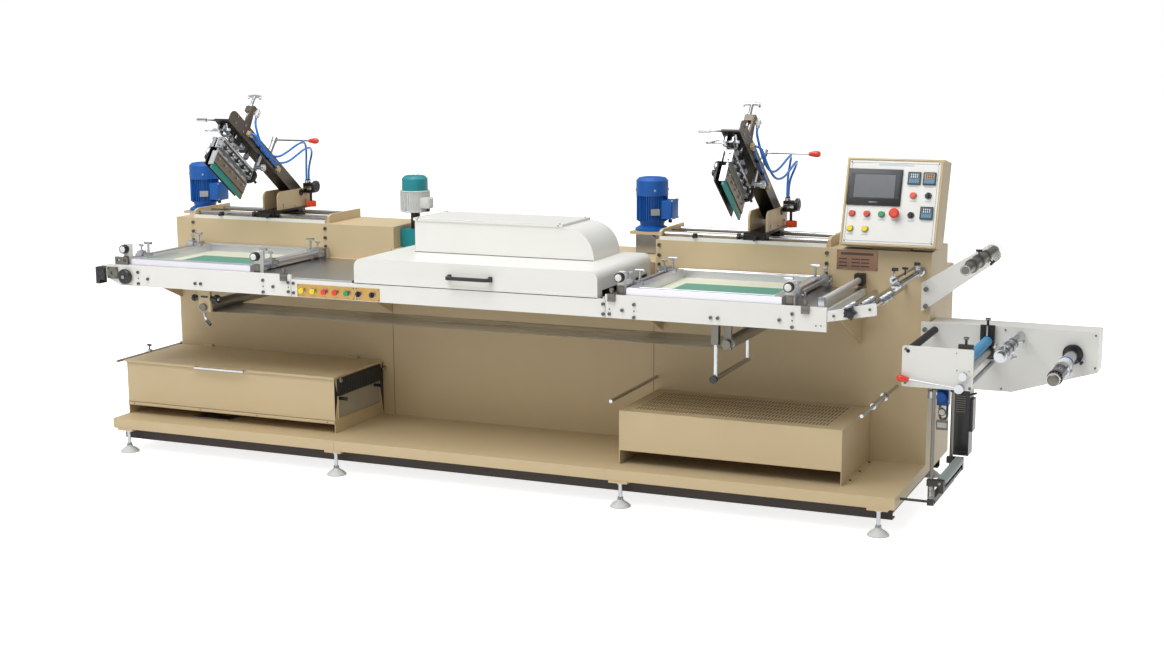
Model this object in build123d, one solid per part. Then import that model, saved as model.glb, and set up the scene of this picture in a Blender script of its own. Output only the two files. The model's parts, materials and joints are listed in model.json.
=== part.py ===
"""Two-colour roll-fed label screen printing machine, floor standing.

Machine axes while it is built: X runs along the machine from the left end of the plinth,
Y runs back from the front edge of the plinth, and Z runs up from the floor. When the nodes
are written they are moved so that the origin is at the bottom centre of the whole machine.
All sizes are in millimetres.
"""

from build123d import *
from math import atan2, cos, degrees, pi, sin, tan
import os

# ------------------------------------------------------------------ driving dimensions

# sheet metal, gaps and fits
SHEET = 3.0
SEAM = 1.0
SEAT = 0.3
RUNNING = 0.05

# plinth and its sub-frame
MODULES = (1152.0, 1255.0, 1163.0)
LENGTH = sum(MODULES)
PLINTH_DEPTH = 990.0
PLINTH_TOP = 155.0
PLINTH_SKIRT = 45.0
SUBFRAME_LOW = 55.0
SUBFRAME_INSET = 60.0
CHANNEL_WALL = 5.0
CHANNEL_FLANGE = 40.0
CROSS_WIDTH = 60.0

# levelling feet
FOOT_PLACES_X = (65.0, 1148.0, 2460.0, 3505.0)
FOOT_SETBACK = 25.0
FOOT_RADIUS = 42.0
FOOT_STEM = 8.0
FOOT_PLATE = (80.0, 8.0)

# cabinet and the station beams on it
CABINET_FRONT = 539.0
CABINET_TOP = 915.0
PANEL_MARGIN = 2.0
LOUVRE = (150.0, 9.0)
LOUVRE_ROWS = 5
LOUVRE_STEP = 30.0
BEAM_TOP = 1012.0
BEAM_DEPTH = 311.0
BEAM_LENGTHS = (1165.0, 1155.0)

# printing stations: the second repeats the first
STATION_X = (85.0, 2420.0)
RAIL_END_PLATE = 12.0
RAIL_SPAN = 737.0
RAIL_END_TOP = 1052.0
GUIDE_ROD_Z = 1032.0
GUIDE_ROD_RADIUS = 10.0
GUIDE_ROD_Y = (592.0, 790.0)
BELT_Y = (682.0, 702.0)
BELT_Z = (1036.0, 1039.0)
STOP_BAR_Y = (542.0, 554.0)
STOP_PLACES = (165.0, 425.0)

# printing heads
HEAD_PLACES = (400.0, 418.0)
HEAD_TILT = 37.0
PIVOT_Y = 794.0
PIVOT_Z = 1122.0
PIVOT_RADIUS = 10.0
CHEEK = 9.0
CHEEK_GAP = 68.0
CHEEK_RISE = 18.0
CHEEK_TOP = PIVOT_Z + CHEEK_RISE
CARRIAGE_Y = (562.0, 880.0)
BLOCK_TOP = 1046.0
ARM_WIDTH = 64.0
ARM_HEIGHT = 60.0
ARM_WALL = 4.0
ARM_REACH = 560.0
NOSE_LENGTH = 100.0
ARM_NOSE = ARM_REACH + NOSE_LENGTH
ARM_TAIL = 18.0
SCREW_AT = 508.0
UNDERPLATE = (-60.0, 32.0)
UNDERPLATE_NOSE = -44.0
UNDERPLATE_THICK = 8.0
SQUEEGEE_AT = 483.0
BLADE_LENGTH = 264.0
BLADE_TIP = 254.8
BLADE_THICK = 8.0
FLOOD_TIP = 238.2
CYLINDER = 34.0
CYLINDER_LENGTH = 30.0
SQUEEGEE_X = -4.0
FLOOD_X = -40.0
HOLDER_TOP = 98.0
HOLDER_HEIGHT = 52.0
JAW_TOP = 172.0
JAW_LOW = 226.0
JAW_THICK = 4.0
JAW_SCREWS = 5
FLOOD_KNOBS = 10
ADJUSTER_RADIUS = 33.0
LIFT = 15.0
LEVER_AT = 290.0
LEVER_LENGTH = 205.0

# drive motors
MOTOR_OFFSET = -140.0
MOTOR_Y = 850.0
MOTOR_RADIUS = 70.0
MOTOR_SHELF = (1000.0, 1012.0)
GEARHEAD = 110.0

# table: rails, beds and screens
RAIL_FRONT = -70.0
RAIL_THICK = 12.0
RAIL_LOW = 780.0
RAIL_TOP = 871.0
DRYER_RAIL_TOP = 852.0
RAIL_ENDS = (65.0, 1012.0, 2435.0, 3314.0)
BACK_RAIL = 21.0
BED_TOP = 860.0
BED_THICK = 20.0
DRYER_BED_TOP = 848.0
SCREEN_LOW = 866.0
SCREEN_HIGH = 897.0
SCREEN_BAR = 40.0
SCREEN_START = 98.0
SCREEN_WIDTH = 620.0
SCREEN_Y = (-56.0, 531.0)
MESH_THICK = 0.6

# fittings on the rails
RAIL_BLOCK = (7.0, 781.0, 855.0)
RAIL_KNOB = (172.0, 821.0, 33.0)
RAIL_SQUARE = (73.0, 127.0, 808.0, 859.0)
RAIL_TAB = (112.0, 178.0, 905.0)
RAIL_CLAMPS_X = (979.0, 2463.0, 3234.0)
RAIL_PLATES_X = ((1043.0, 1319.0), (1323.0, 1437.0))
RAIL_PLATES_Z = (783.0, 836.0)

# dryer hood
HOOD_X = (1318.0, 2402.0)
HOOD_Y = (-70.0, 514.0)
HOOD_TOP = 957.0
HOOD_SHOULDER = 34.0
HOOD_SLOT = 26.0
HEATER_X = (1460.0, 2135.0)
HEATER_Y = (200.0, 481.0)
HEATER_TOP = 1100.0
HEATER_SHOULDER = 140.0
HOOD_HANDLE_X = (1754.0, 1950.0)
HOOD_HINGE = (527.0, 905.0)
HINGE_PIN = 5.0
HINGE_PLACES = (1440.0, 1860.0, 2280.0)

# lidded box and vented box on the plinth
BOX_X = (4.0, 1095.0)
BOX_FRONT = 113.0
BOX_FLOOR = 200.0
LID_TOP = 405.0
LID_LIP = 10.0
LID_HINGE = (529.0, 408.0)
BOX_WINDOW = (140.0, 500.0, 215.0, 318.0)
VENT_X = (2427.0, 3341.0)
VENT_FRONT = 94.0
VENT_TOP = 375.0
VENT_LOW = 213.0
VENT_ROWS = 6
VENT_COLUMNS = 12
BACK_GAP = 2.0

# operator panel
PANEL_X = (3212.0, 3597.0)
PANEL_FOOT = (480.0, 1034.0)
PANEL_HEAD = (596.0, 1372.0)
PANEL_DEPTH = 132.0
FACE_INSET = 12.0
FACE_THICK = 2.0

# web path under the table
WEB_Z = 677.0
WEB_Y = (0.0, 254.0)
WEB_ROLLER = 24.5
WEB_ROLLER_X = (545.0, 2920.0)
WEB_THICK = 0.4

# winding side at the right end
WINDER_BACK = 539.0
WINDER_PLATE = 10.0
COVER_X = (3538.0, 4217.0)
COVER_TOP = 738.0
COVER_LOW = 482.0
COVER_STEP = (3899.0, 582.0)
COVER_DEPTH = 118.0
NIP_PLATE_X = (3570.0, 3832.0)
NIP_PLATE_Z = (574.0, 727.0)
NIP_PLATE_Y = (55.0, 65.0)
NIP_X = 3800.0
NIP_UPPER_Z = 680.0
NIP_LOWER_Z = 640.0
NIP_RADIUS = 19.5
DANCER_Z = 205.0

# buttons: radius of a head, how far it stands out, and its travel
BUTTON_RADIUS = 11.0
BUTTON_STAND = 13.0
BUTTON_TRAVEL = 3.0
BUTTON_STEM = 20.0

# ------------------------------------------------------------------ shape helpers

TURN = {
    "x": Rot(0, 90, 0),
    "-x": Rot(0, -90, 0),
    "y": Rot(-90, 0, 0),
    "-y": Rot(90, 0, 0),
    "z": Rot(0, 0, 0),
    "-z": Rot(180, 0, 0),
}


def block(x, y, z):
    """A box between pairs of limits along X, Y and Z."""
    size = Box(x[1] - x[0], y[1] - y[0], z[1] - z[0])
    return Pos(sum(x) / 2, sum(y) / 2, sum(z) / 2) * size


def on_axis(axis, along, across):
    """The point that lies at along on the axis and at across on the other two axes."""
    a, b = across
    return {"x": (along, a, b), "y": (a, along, b), "z": (a, b, along)}[axis]


def bar(axis, ends, at, radius, bore=0.0):
    """A round bar or tube along an axis; at gives its place on the other two axes."""
    place = Pos(*on_axis(axis, sum(ends) / 2, at)) * TURN[axis]
    length = ends[1] - ends[0]
    solid = Cylinder(radius, length)
    if bore:
        solid -= Cylinder(bore, length + 2)
    return place * solid


def prism(axis, outline, limits, radii=None):
    """An outline across the axis, carried along it between two limits, with rounded corners."""
    low, high = limits
    planes = {
        "x": Plane.YZ.offset(low),
        "y": Plane.XZ.offset(-high),
        "z": Plane.XY.offset(low),
    }
    if radii:
        edge = FilletPolyline(*outline, radius=radii, close=True)
    else:
        edge = Polyline(*outline, close=True)
    return extrude(planes[axis] * make_face(edge), high - low)


def turned(profile, at, direction="z"):
    """A profile of (radius, height) points turned about a direction through a point."""
    face = Plane.XZ * make_face(Polyline(*profile, close=True))
    return Pos(*at) * TURN[direction] * revolve(face, Axis.Z)


def star(radius, points=5, depth=0.62):
    """The outline of a star knob."""
    outline = []
    for i in range(2 * points):
        reach = radius if i % 2 == 0 else radius * depth
        angle = pi * i / points
        outline.append((reach * cos(angle), reach * sin(angle)))
    return outline


def star_knob(at, direction, radius, height, points=5):
    """A lobed clamping knob that stands on its point along a direction."""
    return Pos(*at) * TURN[direction] * prism("z", star(radius, points), (0, height))


def tray(x, y, z, wall=SHEET, open_side="low"):
    """A folded sheet box, open at the bottom or at the back."""
    outer = block(x, y, z)
    inner_x = (x[0] + wall, x[1] - wall)
    if open_side == "low":
        inner = block(inner_x, (y[0] + wall, y[1] - wall), (z[0] - 1, z[1] - wall))
    else:
        inner = block(inner_x, (y[0] + wall, y[1] + 1), (z[0] + wall, z[1] - wall))
    return outer - inner


def spans(lengths):
    """Start and end of each length in a row."""
    start = 0.0
    result = []
    for length in lengths:
        result.append((start, start + length))
        start += length
    return result


# ------------------------------------------------------------------ plinth and cabinet


def base_plinth():
    """Three folded trays in a row, open to each other where they meet."""
    trays = []
    for start, end in spans(MODULES):
        x = (start + SEAM / 2, end - SEAM / 2)
        inner_start = x[0] + SHEET if start == 0 else x[0] - 1
        inner_end = x[1] - SHEET if end == LENGTH else x[1] + 1
        low = PLINTH_TOP - PLINTH_SKIRT
        body = block(x, (0, PLINTH_DEPTH), (low, PLINTH_TOP))
        body -= block(
            (inner_start, inner_end),
            (SHEET, PLINTH_DEPTH - SHEET),
            (low - 1, PLINTH_TOP - SHEET),
        )
        trays.append(body)
    return trays


def channel(axis, web, inward, low, high, ends):
    """A channel section: web at one place, flanges turned inward."""
    wall = CHANNEL_WALL * inward
    tip = CHANNEL_FLANGE * inward
    outline = [
        (web, low),
        (web + tip, low),
        (web + tip, low + CHANNEL_WALL),
        (web + wall, low + CHANNEL_WALL),
        (web + wall, high - CHANNEL_WALL),
        (web + tip, high - CHANNEL_WALL),
        (web + tip, high),
        (web, high),
    ]
    return prism(axis, outline, ends)


def sub_frame():
    """Two long channels with cross members between them at the feet."""
    high = PLINTH_TOP - SHEET
    front = SUBFRAME_INSET
    back = PLINTH_DEPTH - SUBFRAME_INSET
    ends = (20.0, LENGTH - 20.0)
    parts = [
        channel("x", front, 1, SUBFRAME_LOW, high, ends),
        channel("x", back, -1, SUBFRAME_LOW, high, ends),
    ]
    y = (front + CHANNEL_WALL, back - CHANNEL_WALL)
    z = (SUBFRAME_LOW + CHANNEL_WALL, high - CHANNEL_WALL)
    for x in FOOT_PLACES_X:
        sides = (x - CROSS_WIDTH / 2, x + CROSS_WIDTH / 2)
        hollow = block(
            (sides[0] + CHANNEL_WALL, sides[1] - CHANNEL_WALL),
            (y[0] - 1, y[1] + 1),
            (z[0] + CHANNEL_WALL, z[1] - CHANNEL_WALL),
        )
        parts.append(block(sides, y, z) - hollow)
    return parts


def levelling_feet():
    """Eight feet: a plate under the skirt, a threaded stem, a lock nut and a domed pad."""
    skirt_low = PLINTH_TOP - PLINTH_SKIRT
    plate_low = skirt_low - FOOT_PLATE[1]
    pad = [
        (0, 0),
        (FOOT_RADIUS, 0),
        (FOOT_RADIUS, 5),
        (30, 16),
        (14, 26),
        (11, 40),
        (0, 40),
    ]
    parts = []
    for x in FOOT_PLACES_X:
        for y, inner in (
            (FOOT_SETBACK, SUBFRAME_INSET),
            (PLINTH_DEPTH - FOOT_SETBACK, PLINTH_DEPTH - SUBFRAME_INSET),
        ):
            edge = y - 30 if y < inner else y + 30
            half = FOOT_PLATE[0] / 2
            plate = block((x - half, x + half), sorted((edge, inner)), (plate_low, skirt_low))
            nut = prism("z", star(14, 3, 1.0), (plate_low - 9, plate_low))
            foot = turned(pad, (x, y, 0)) + bar("z", (38, skirt_low + 20), (x, y), FOOT_STEM)
            foot += plate
            foot += Pos(x, y, 0) * nut
            parts.append(foot)
    return parts


def cabinet():
    """Three sheet boxes open at the back, each closed by a louvred rear panel."""
    parts = []
    for start, end in spans(MODULES):
        x = (start + SEAM / 2, end - SEAM / 2)
        back = PLINTH_DEPTH - SHEET
        parts.append(tray(x, (CABINET_FRONT, back), (PLINTH_TOP, CABINET_TOP), open_side="back"))
        panel_x = (x[0] + PANEL_MARGIN, x[1] - PANEL_MARGIN)
        panel_z = (PLINTH_TOP + PANEL_MARGIN, CABINET_TOP - PANEL_MARGIN)
        panel = block(panel_x, (back, PLINTH_DEPTH), panel_z)
        centre = sum(x) / 2
        for row in range(LOUVRE_ROWS):
            z = CABINET_TOP - 110 - row * LOUVRE_STEP
            slot_x = (centre - LOUVRE[0] / 2, centre + LOUVRE[0] / 2)
            panel -= block(slot_x, (back - 1, PLINTH_DEPTH + 1), (z, z + LOUVRE[1]))
        parts.append(panel)
    return parts


def beam_span(station):
    """Where a station's beam starts and ends along X."""
    if station == 0:
        return (0.0, BEAM_LENGTHS[0])
    return (LENGTH - BEAM_LENGTHS[1], LENGTH)


def station_beams():
    """A folded cover under each station, open below where it stands on the cabinet."""
    y = (CABINET_FRONT, CABINET_FRONT + BEAM_DEPTH)
    return [tray(beam_span(i), y, (CABINET_TOP, BEAM_TOP)) for i in range(2)]


# ------------------------------------------------------------------ station drives


def guide_rods():
    """End plates, two guide rods, a drive belt and a stop bar with two stops per station."""
    parts = []
    for start in STATION_X:
        inner = (start + RAIL_END_PLATE, start + RAIL_SPAN - RAIL_END_PLATE)
        low = BEAM_TOP
        outline = [(560, low), (840, low), (840, RAIL_END_TOP), (585, RAIL_END_TOP), (560, 1042)]
        for x in ((start, inner[0]), (inner[1], start + RAIL_SPAN)):
            parts.append(prism("x", outline, x))
        for y in GUIDE_ROD_Y:
            parts.append(bar("x", inner, (y, GUIDE_ROD_Z), GUIDE_ROD_RADIUS))
        parts.append(block(inner, BELT_Y, BELT_Z))
        parts.append(block(inner, STOP_BAR_Y, (BEAM_TOP, BEAM_TOP + 14)))
        for place in STOP_PLACES:
            x = start + place
            clamp = block((x - 9, x + 9), STOP_BAR_Y, (BEAM_TOP + 14, BEAM_TOP + 32))
            clamp += bar("y", (STOP_BAR_Y[0] - 14, STOP_BAR_Y[0]), (x, BEAM_TOP + 20), 7)
            parts.append(clamp)
    return parts


def blue_motor(x):
    """A flange-mounted motor standing on its shelf: flange, ribbed body and fan cowl."""
    z = MOTOR_SHELF[1]
    r = MOTOR_RADIUS
    core = [
        (0, z),
        (r + 4, z),
        (r + 4, z + 10),
        (r - 18, z + 22),
        (r - 14, z + 40),
        (r - 8, z + 40),
        (r - 8, z + 153),
        (r, z + 153),
        (r, z + 218),
        (r - 12, z + 230),
        (0, z + 230),
    ]
    motor = turned(core, (x, MOTOR_Y, 0))
    fin = block((r - 10, r - 1), (-1.5, 1.5), (z + 44, z + 150))
    for i in range(12):
        if i != 0:
            motor += Pos(x, MOTOR_Y, 0) * Rot(0, 0, i * 30) * fin
    motor += block((x + r - 12, x + r + 28), (MOTOR_Y - 42, MOTOR_Y + 42), (z + 55, z + 135))
    return motor


def teal_motor():
    """The dryer's fan motor: gear housing, neck, ribbed body and cap."""
    x, y = 1217.0, 652.0
    housing = block((x - 49, x + 55), (y - 50, y + 50), (CABINET_TOP, CABINET_TOP + 82))
    neck = bar("z", (CABINET_TOP + 82, CABINET_TOP + 158), (x, y), 21)
    body = bar("z", (CABINET_TOP + 158, CABINET_TOP + 252), (x, y), 62)
    fin = block((60, 67), (-2, 2), (CABINET_TOP + 160, CABINET_TOP + 250))
    for i in range(10):
        body += Pos(x, y, 0) * Rot(0, 0, i * 36) * fin
    low = CABINET_TOP + 252
    cap_profile = [(0, low), (58, low), (58, low + 54), (46, low + 66), (0, low + 66)]
    cap = turned(cap_profile, (x, y, 0))
    return [housing, neck, body, cap]


def drive_motors():
    """A shelf, a gearhead and a blue motor at each station, and the dryer's fan motor."""
    parts = []
    half = GEARHEAD / 2
    for i, start in enumerate(STATION_X):
        x = start + MOTOR_OFFSET
        shelf_end = beam_span(i)[0]
        shelf_y = (MOTOR_Y - 75, MOTOR_Y + 75)
        parts.append(block((x - 75, shelf_end), shelf_y, MOTOR_SHELF))
        gear_z = (CABINET_TOP, MOTOR_SHELF[0])
        parts.append(block((x - half, x + half), (MOTOR_Y - half, MOTOR_Y + half), gear_z))
        wheel_y = MOTOR_Y - half
        parts.append(bar("y", (wheel_y - 16, wheel_y), (x + 12, 960), 40))
        parts.append(blue_motor(x))
    return parts + teal_motor()


# ------------------------------------------------------------------ printing heads


def head_place(station):
    """Middle of a station's head along X."""
    return STATION_X[station] + HEAD_PLACES[station]


def carriage(station):
    """The carriage: bearing blocks on the rods, a base plate, cheeks, pin and air valve."""
    x = head_place(station)
    outer = CHEEK_GAP / 2 + CHEEK
    sides = (x - outer - 5, x + outer + 5)
    parts = []
    for y in GUIDE_ROD_Y:
        bearing = block(sides, (y - 30, y + 30), (BEAM_TOP + 3, BLOCK_TOP))
        bearing -= bar("x", (sides[0] - 1, sides[1] + 1), (y, GUIDE_ROD_Z),
                       GUIDE_ROD_RADIUS + RUNNING)
        parts.append(bearing)
    plate_top = BLOCK_TOP + 10
    parts.append(block(sides, CARRIAGE_Y, (BLOCK_TOP, plate_top)))
    front = CARRIAGE_Y[0] + 38
    back = CARRIAGE_Y[1]
    outline = [(front, plate_top), (back, plate_top), (back, CHEEK_TOP), (front, CHEEK_TOP)]
    pin_at = (PIVOT_Y, PIVOT_Z)
    for cheek_x in ((x - outer, x - outer + CHEEK), (x + outer - CHEEK, x + outer)):
        cheek = prism("x", outline, cheek_x, [0, 0, 6, 30])
        cheek -= bar("x", (cheek_x[0] - 1, cheek_x[1] + 1), pin_at, PIVOT_RADIUS)
        parts.append(cheek)
    pin = bar("x", (x - outer, x + outer), pin_at, PIVOT_RADIUS)
    pin += bar("x", (x - outer - 4, x - outer), pin_at, PIVOT_RADIUS + 5)
    pin += bar("x", (x + outer, x + outer + 4), pin_at, PIVOT_RADIUS + 5)
    parts.append(pin)
    valve_x = (x + outer, x + outer + 50)
    valve = block(valve_x, (815, 858), (CHEEK_TOP - 22, CHEEK_TOP + 24))
    parts.append(valve)
    parts.append(bar("z", (CHEEK_TOP + 24, CHEEK_TOP + 40), (x + outer + 14, 826), 8))
    parts.append(bar("z", (CHEEK_TOP + 24, CHEEK_TOP + 40), (x + outer + 14, 846), 8))
    parts.append(bar("x", (valve_x[1], valve_x[1] + 14), (836, CHEEK_TOP + 8), 27))
    stem_at = (x + outer + 29, 836)
    parts.append(bar("z", (CHEEK_TOP - 60, CHEEK_TOP - 22), stem_at, 6))
    knob_z = CHEEK_TOP - 84
    parts.append(star_knob((*stem_at, knob_z), "z", 27, 24, 3))
    return parts


def head_seat(station):
    """Takes a head that is drawn level, with its pivot at the origin, to its raised place."""
    return Pos(head_place(station), PIVOT_Y, PIVOT_Z) * Rot(-HEAD_TILT, 0, 0)


def cylinder_body(x):
    """A short-stroke air cylinder under the arm, bored for its piston rod."""
    top = -ARM_HEIGHT / 2 - UNDERPLATE_THICK
    half = CYLINDER / 2
    y = -SQUEEGEE_AT
    body = block((x - half, x + half), (y - half, y + half), (top - CYLINDER_LENGTH, top))
    return body - bar("z", (top - CYLINDER_LENGTH - 1, top - 4), (x, y), 6 + RUNNING)


def arm_tube():
    """Box-section arm whose right-hand wall runs on to a rounded nose."""
    half_w = ARM_WIDTH / 2
    half_h = ARM_HEIGHT / 2
    across = (-half_w, half_w)
    tube = block(across, (-ARM_REACH, ARM_TAIL), (-half_h, half_h))
    tube -= block(
        (-half_w + ARM_WALL, half_w - ARM_WALL),
        (-ARM_REACH - 1, ARM_TAIL + 1),
        (-half_h + ARM_WALL, half_h - ARM_WALL),
    )
    tube += bar("x", across, (0, 0), PIVOT_RADIUS + 6)
    tube -= bar("x", (-half_w - 1, half_w + 1), (0, 0), PIVOT_RADIUS + RUNNING)
    nose = [
        (-ARM_REACH, -half_h),
        (-ARM_REACH, half_h),
        (-ARM_NOSE, half_h),
        (-ARM_NOSE, -half_h),
    ]
    return tube + prism("x", nose, (half_w - ARM_WALL, half_w), [0, 0, 38, 8])


def screw_bracket():
    """Bracket on the arm with the long T-handled clamp screw through its lug."""
    top = ARM_HEIGHT / 2
    y = -SCREW_AT
    bracket = prism(
        "x",
        [(y - 40, top), (y - 26, 118), (y - 14, 132), (y - 8, 132), (y + 8, top)],
        (ARM_WIDTH / 2 - 8, ARM_WIDTH / 2),
        [0, 6, 6, 0, 0],
    )
    lug = block((-14, ARM_WIDTH / 2), (y - 16, y + 14), (104, 132))
    lug -= bar("z", (100, 140), (0, y), 6.5)
    bracket += lug
    screw = bar("z", (70, 190), (0, y), 6.4)
    screw += bar("z", (132, 140), (0, y), 10)
    screw += bar("x", (-32, 32), (y, 192), 6)
    return [bracket, screw]


def under_parts():
    """What hangs below the arm: carrying plate, air cylinders, guide posts, clevis and rods."""
    top = -ARM_HEIGHT / 2
    low = top - UNDERPLATE_THICK
    y = -SQUEEGEE_AT
    plate = block((UNDERPLATE_NOSE, UNDERPLATE[1]), (-ARM_NOSE, y - 40), (low, top))
    plate += block(UNDERPLATE, (y - 40, y + 90), (low, top))
    rear_post = bar("z", (LIFT + 1 - HOLDER_TOP, low), (SQUEEGEE_X, y + 70), 9)
    front_post = bar("z", (LIFT + 1 - HOLDER_TOP, low), (SQUEEGEE_X, y - 70), 9)
    clevis = block((-26, -20), (-640, -600), (low - 34, low))
    clevis += block((2, 8), (-640, -600), (low - 34, low))
    clevis += bar("x", (-34, 16), (-618, low - 22), 6)
    spindle = bar("x", (UNDERPLATE_NOSE - 50, UNDERPLATE_NOSE), (-652, top - 4), 3.9)
    spindle += bar("x", (UNDERPLATE_NOSE - 94, UNDERPLATE_NOSE - 46), (-652, top - 4), 8)
    wing = block((UNDERPLATE_NOSE, UNDERPLATE_NOSE + 14), (-616, -590), (low - 30, low))
    wing += bar("x", (UNDERPLATE_NOSE - 46, UNDERPLATE_NOSE), (-603, low - 18), 6)
    hanger = block((20, UNDERPLATE[1]), (y + 114, y + 132), (-104, top))
    knurled = bar("x", (UNDERPLATE[1], 56), (y + 123, -92), 9)
    knurled += bar("x", (56, 72), (y + 123, -92), 15)
    solids = [plate, rear_post, front_post, clevis, spindle, wing, hanger, knurled]
    return solids + [cylinder_body(SQUEEGEE_X), cylinder_body(FLOOD_X)]


def arm(station):
    """The swinging arm, drawn level: tube, bracket, fittings and what hangs below it."""
    half_w = ARM_WIDTH / 2
    half_h = ARM_HEIGHT / 2
    elbow_1 = block((half_w, half_w + 14), (-SCREW_AT + 4, -SCREW_AT + 22), (92, 124))
    elbow_1 += block((half_w - 8, half_w), (-SCREW_AT + 4, -SCREW_AT + 22), (108, 124))
    elbow_2 = block((half_w, half_w + 16), (-SCREW_AT - 4, -SCREW_AT + 16), (-14, 6))
    post = bar("z", (half_h, half_h + 88), (18, -LEVER_AT), 7)
    post += bar("z", (half_h, half_h + 62), (18, -LEVER_AT), 11)
    fitting = block((half_w, half_w + 12), (-230, -204), (-20, 2))
    solids = [arm_tube(), *screw_bracket(), elbow_1, elbow_2, post, fitting, *under_parts()]
    return [head_seat(station) * solid for solid in solids]


def squeegee(station):
    """Printing squeegee, drawn level: rod, rail, jaws with their screws, knobs and blade."""
    x = SQUEEGEE_X
    y = (-SQUEEGEE_AT - BLADE_LENGTH / 2, -SQUEEGEE_AT + BLADE_LENGTH / 2)
    top = -HOLDER_TOP
    low = top - HOLDER_HEIGHT
    half_blade = BLADE_THICK / 2
    half_jaw = half_blade + JAW_THICK
    rail = block((x - 15, x + 15), y, (low, top))
    rail -= block((x + 9, x + 16), (y[0] - 1, y[1] + 1), (low + 20, top - 12))
    rod_top = -ARM_HEIGHT / 2 - UNDERPLATE_THICK - LIFT - 5
    rail += bar("z", (top - 2, rod_top), (x, -SQUEEGEE_AT), 6)
    rail += block((x - half_blade, x + half_blade), y, (-JAW_TOP, low))
    jaw = [
        (x - half_jaw, -JAW_TOP),
        (x + half_jaw, -JAW_TOP),
        (x + half_jaw, -JAW_LOW),
        (x + half_blade, -JAW_LOW),
        (x + half_blade, -JAW_LOW + 40),
        (x - half_blade, -JAW_LOW + 40),
        (x - half_blade, -JAW_LOW),
        (x - half_jaw, -JAW_LOW),
    ]
    clamp = prism("y", jaw, y)
    clamp -= block((x + half_jaw - 1, x + half_jaw + 1), (y[0] - 1, y[1] + 1),
                   (-JAW_TOP - 11, -JAW_TOP - 8))
    blade = block((x - half_blade, x + half_blade), (y[0] - 2, y[1] + 2),
                  (-BLADE_TIP, -JAW_LOW + 40))
    end_plate = block((x - half_jaw - 8, x + half_jaw), (y[0] - 8, y[0] - 2),
                      (-JAW_LOW - 14, -JAW_TOP))
    solids = [rail, clamp, blade, end_plate]
    step = BLADE_LENGTH / JAW_SCREWS
    for i in range(JAW_SCREWS):
        screw_y = y[0] + (i + 0.4) * step
        solids.append(bar("x", (x + half_jaw, x + half_jaw + 3), (screw_y, -JAW_TOP - 26), 5))
        knob = bar("x", (x + 15, x + 19), (screw_y, low + 11), 5)
        knob += bar("x", (x + 19, x + 29), (screw_y, low + 11), 9)
        solids.append(knob)
    wheel = turned([(0, 0), (9, 0), (9, 6), (ADJUSTER_RADIUS, 6), (ADJUSTER_RADIUS, 20), (0, 20)],
                   (x, y[1], low + 23), "y")
    solids.append(wheel)
    return [head_seat(station) * solid for solid in solids]


def flood_bar(station):
    """Flood bar, drawn level: rod, rail, blade and the row of knobs that clamps it."""
    x = FLOOD_X
    y = (-SQUEEGEE_AT - BLADE_LENGTH / 2 - 4, -SQUEEGEE_AT + BLADE_LENGTH / 2 + 4)
    top = -HOLDER_TOP
    low = top - HOLDER_HEIGHT
    rail = block((x - 11, x + 11), y, (low, top))
    rail -= block((x - 12, x - 5), (y[0] - 1, y[1] + 1), (low + 18, top - 12))
    rod_top = -ARM_HEIGHT / 2 - UNDERPLATE_THICK - 14
    rail += bar("z", (top - 2, rod_top), (x, -SQUEEGEE_AT), 6)
    blade = block((x - 3, x + 3), y, (-FLOOD_TIP, low))
    solids = [rail, blade]
    step = (y[1] - y[0]) / FLOOD_KNOBS
    for i in range(FLOOD_KNOBS):
        knob_y = y[0] + (i + 0.5) * step
        knob = bar("x", (x - 9, x - 3), (knob_y, low - 46), 6)
        knob += bar("x", (x - 19, x - 9), (knob_y, low - 46), 10)
        solids.append(knob)
    return [head_seat(station) * solid for solid in solids]


def head_lever(station):
    """Hand lever on the arm's post: hub, rod and tapered knob."""
    z = ARM_HEIGHT / 2 + 62
    hub = bar("z", (z + SEAT, z + 22), (18, -LEVER_AT), 13, bore=7 + RUNNING)
    rod_z = z + 11
    hub += bar("x", (18 + 11, LEVER_LENGTH), (-LEVER_AT, rod_z), 4)
    knob_profile = [(0, 0), (8, 0), (13, 26), (13, 38), (9, 46), (0, 46)]
    knob = turned(knob_profile, (LEVER_LENGTH, -LEVER_AT, rod_z), "x")
    return [head_seat(station) * solid for solid in (hub, knob)]


# ------------------------------------------------------------------ air hoses

HOSE_RADIUS = 5.0
# Routes relative to the middle of the head: across, from the front, and up from the floor.
HOSE_ROUTES = (
    ((39, 453.9, 1493.3), (39, 438.3, 1472.5), (56, 430, 1420), (66, 442, 1372), (74, 486, 1324),
     (82, 550, 1304), (92, 616, 1326), (98, 690, 1356), (92, 762, 1364), (74, 806, 1330),
     (59, 826, 1270), (57, 826, 1218), (57, 826, 1180)),
    ((48, 390.7, 1420.9), (74, 390.7, 1420.9), (86, 404, 1376), (92, 448, 1326), (100, 512, 1282),
     (110, 582, 1280), (118, 650, 1308), (120, 716, 1334), (112, 782, 1336), (90, 830, 1306),
     (64, 847, 1258), (57, 846, 1216), (57, 846, 1180)),
)


def hose_radii(route):
    """The largest even arc at each corner of a route, from its two runs and its turn."""
    radii = []
    for before, corner, after in zip(route, route[1:], route[2:]):
        run_in = Vector(*corner) - Vector(*before)
        run_out = Vector(*after) - Vector(*corner)
        half_turn = run_in.get_angle(run_out) * pi / 360
        radii.append(0.45 * min(run_in.length, run_out.length) / tan(half_turn))
    return radii


def tube_along(route, radius):
    """A round tube along straight runs joined by tangent arcs."""
    radii = hose_radii(route)
    path = FilletPolyline(*route, radius=radii)
    print("hose: length", round(path.length), "tightest bend", round(min(radii), 1))
    start = Plane(origin=path @ 0, z_dir=path % 0)
    return sweep(start * Circle(radius), path=path)


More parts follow.
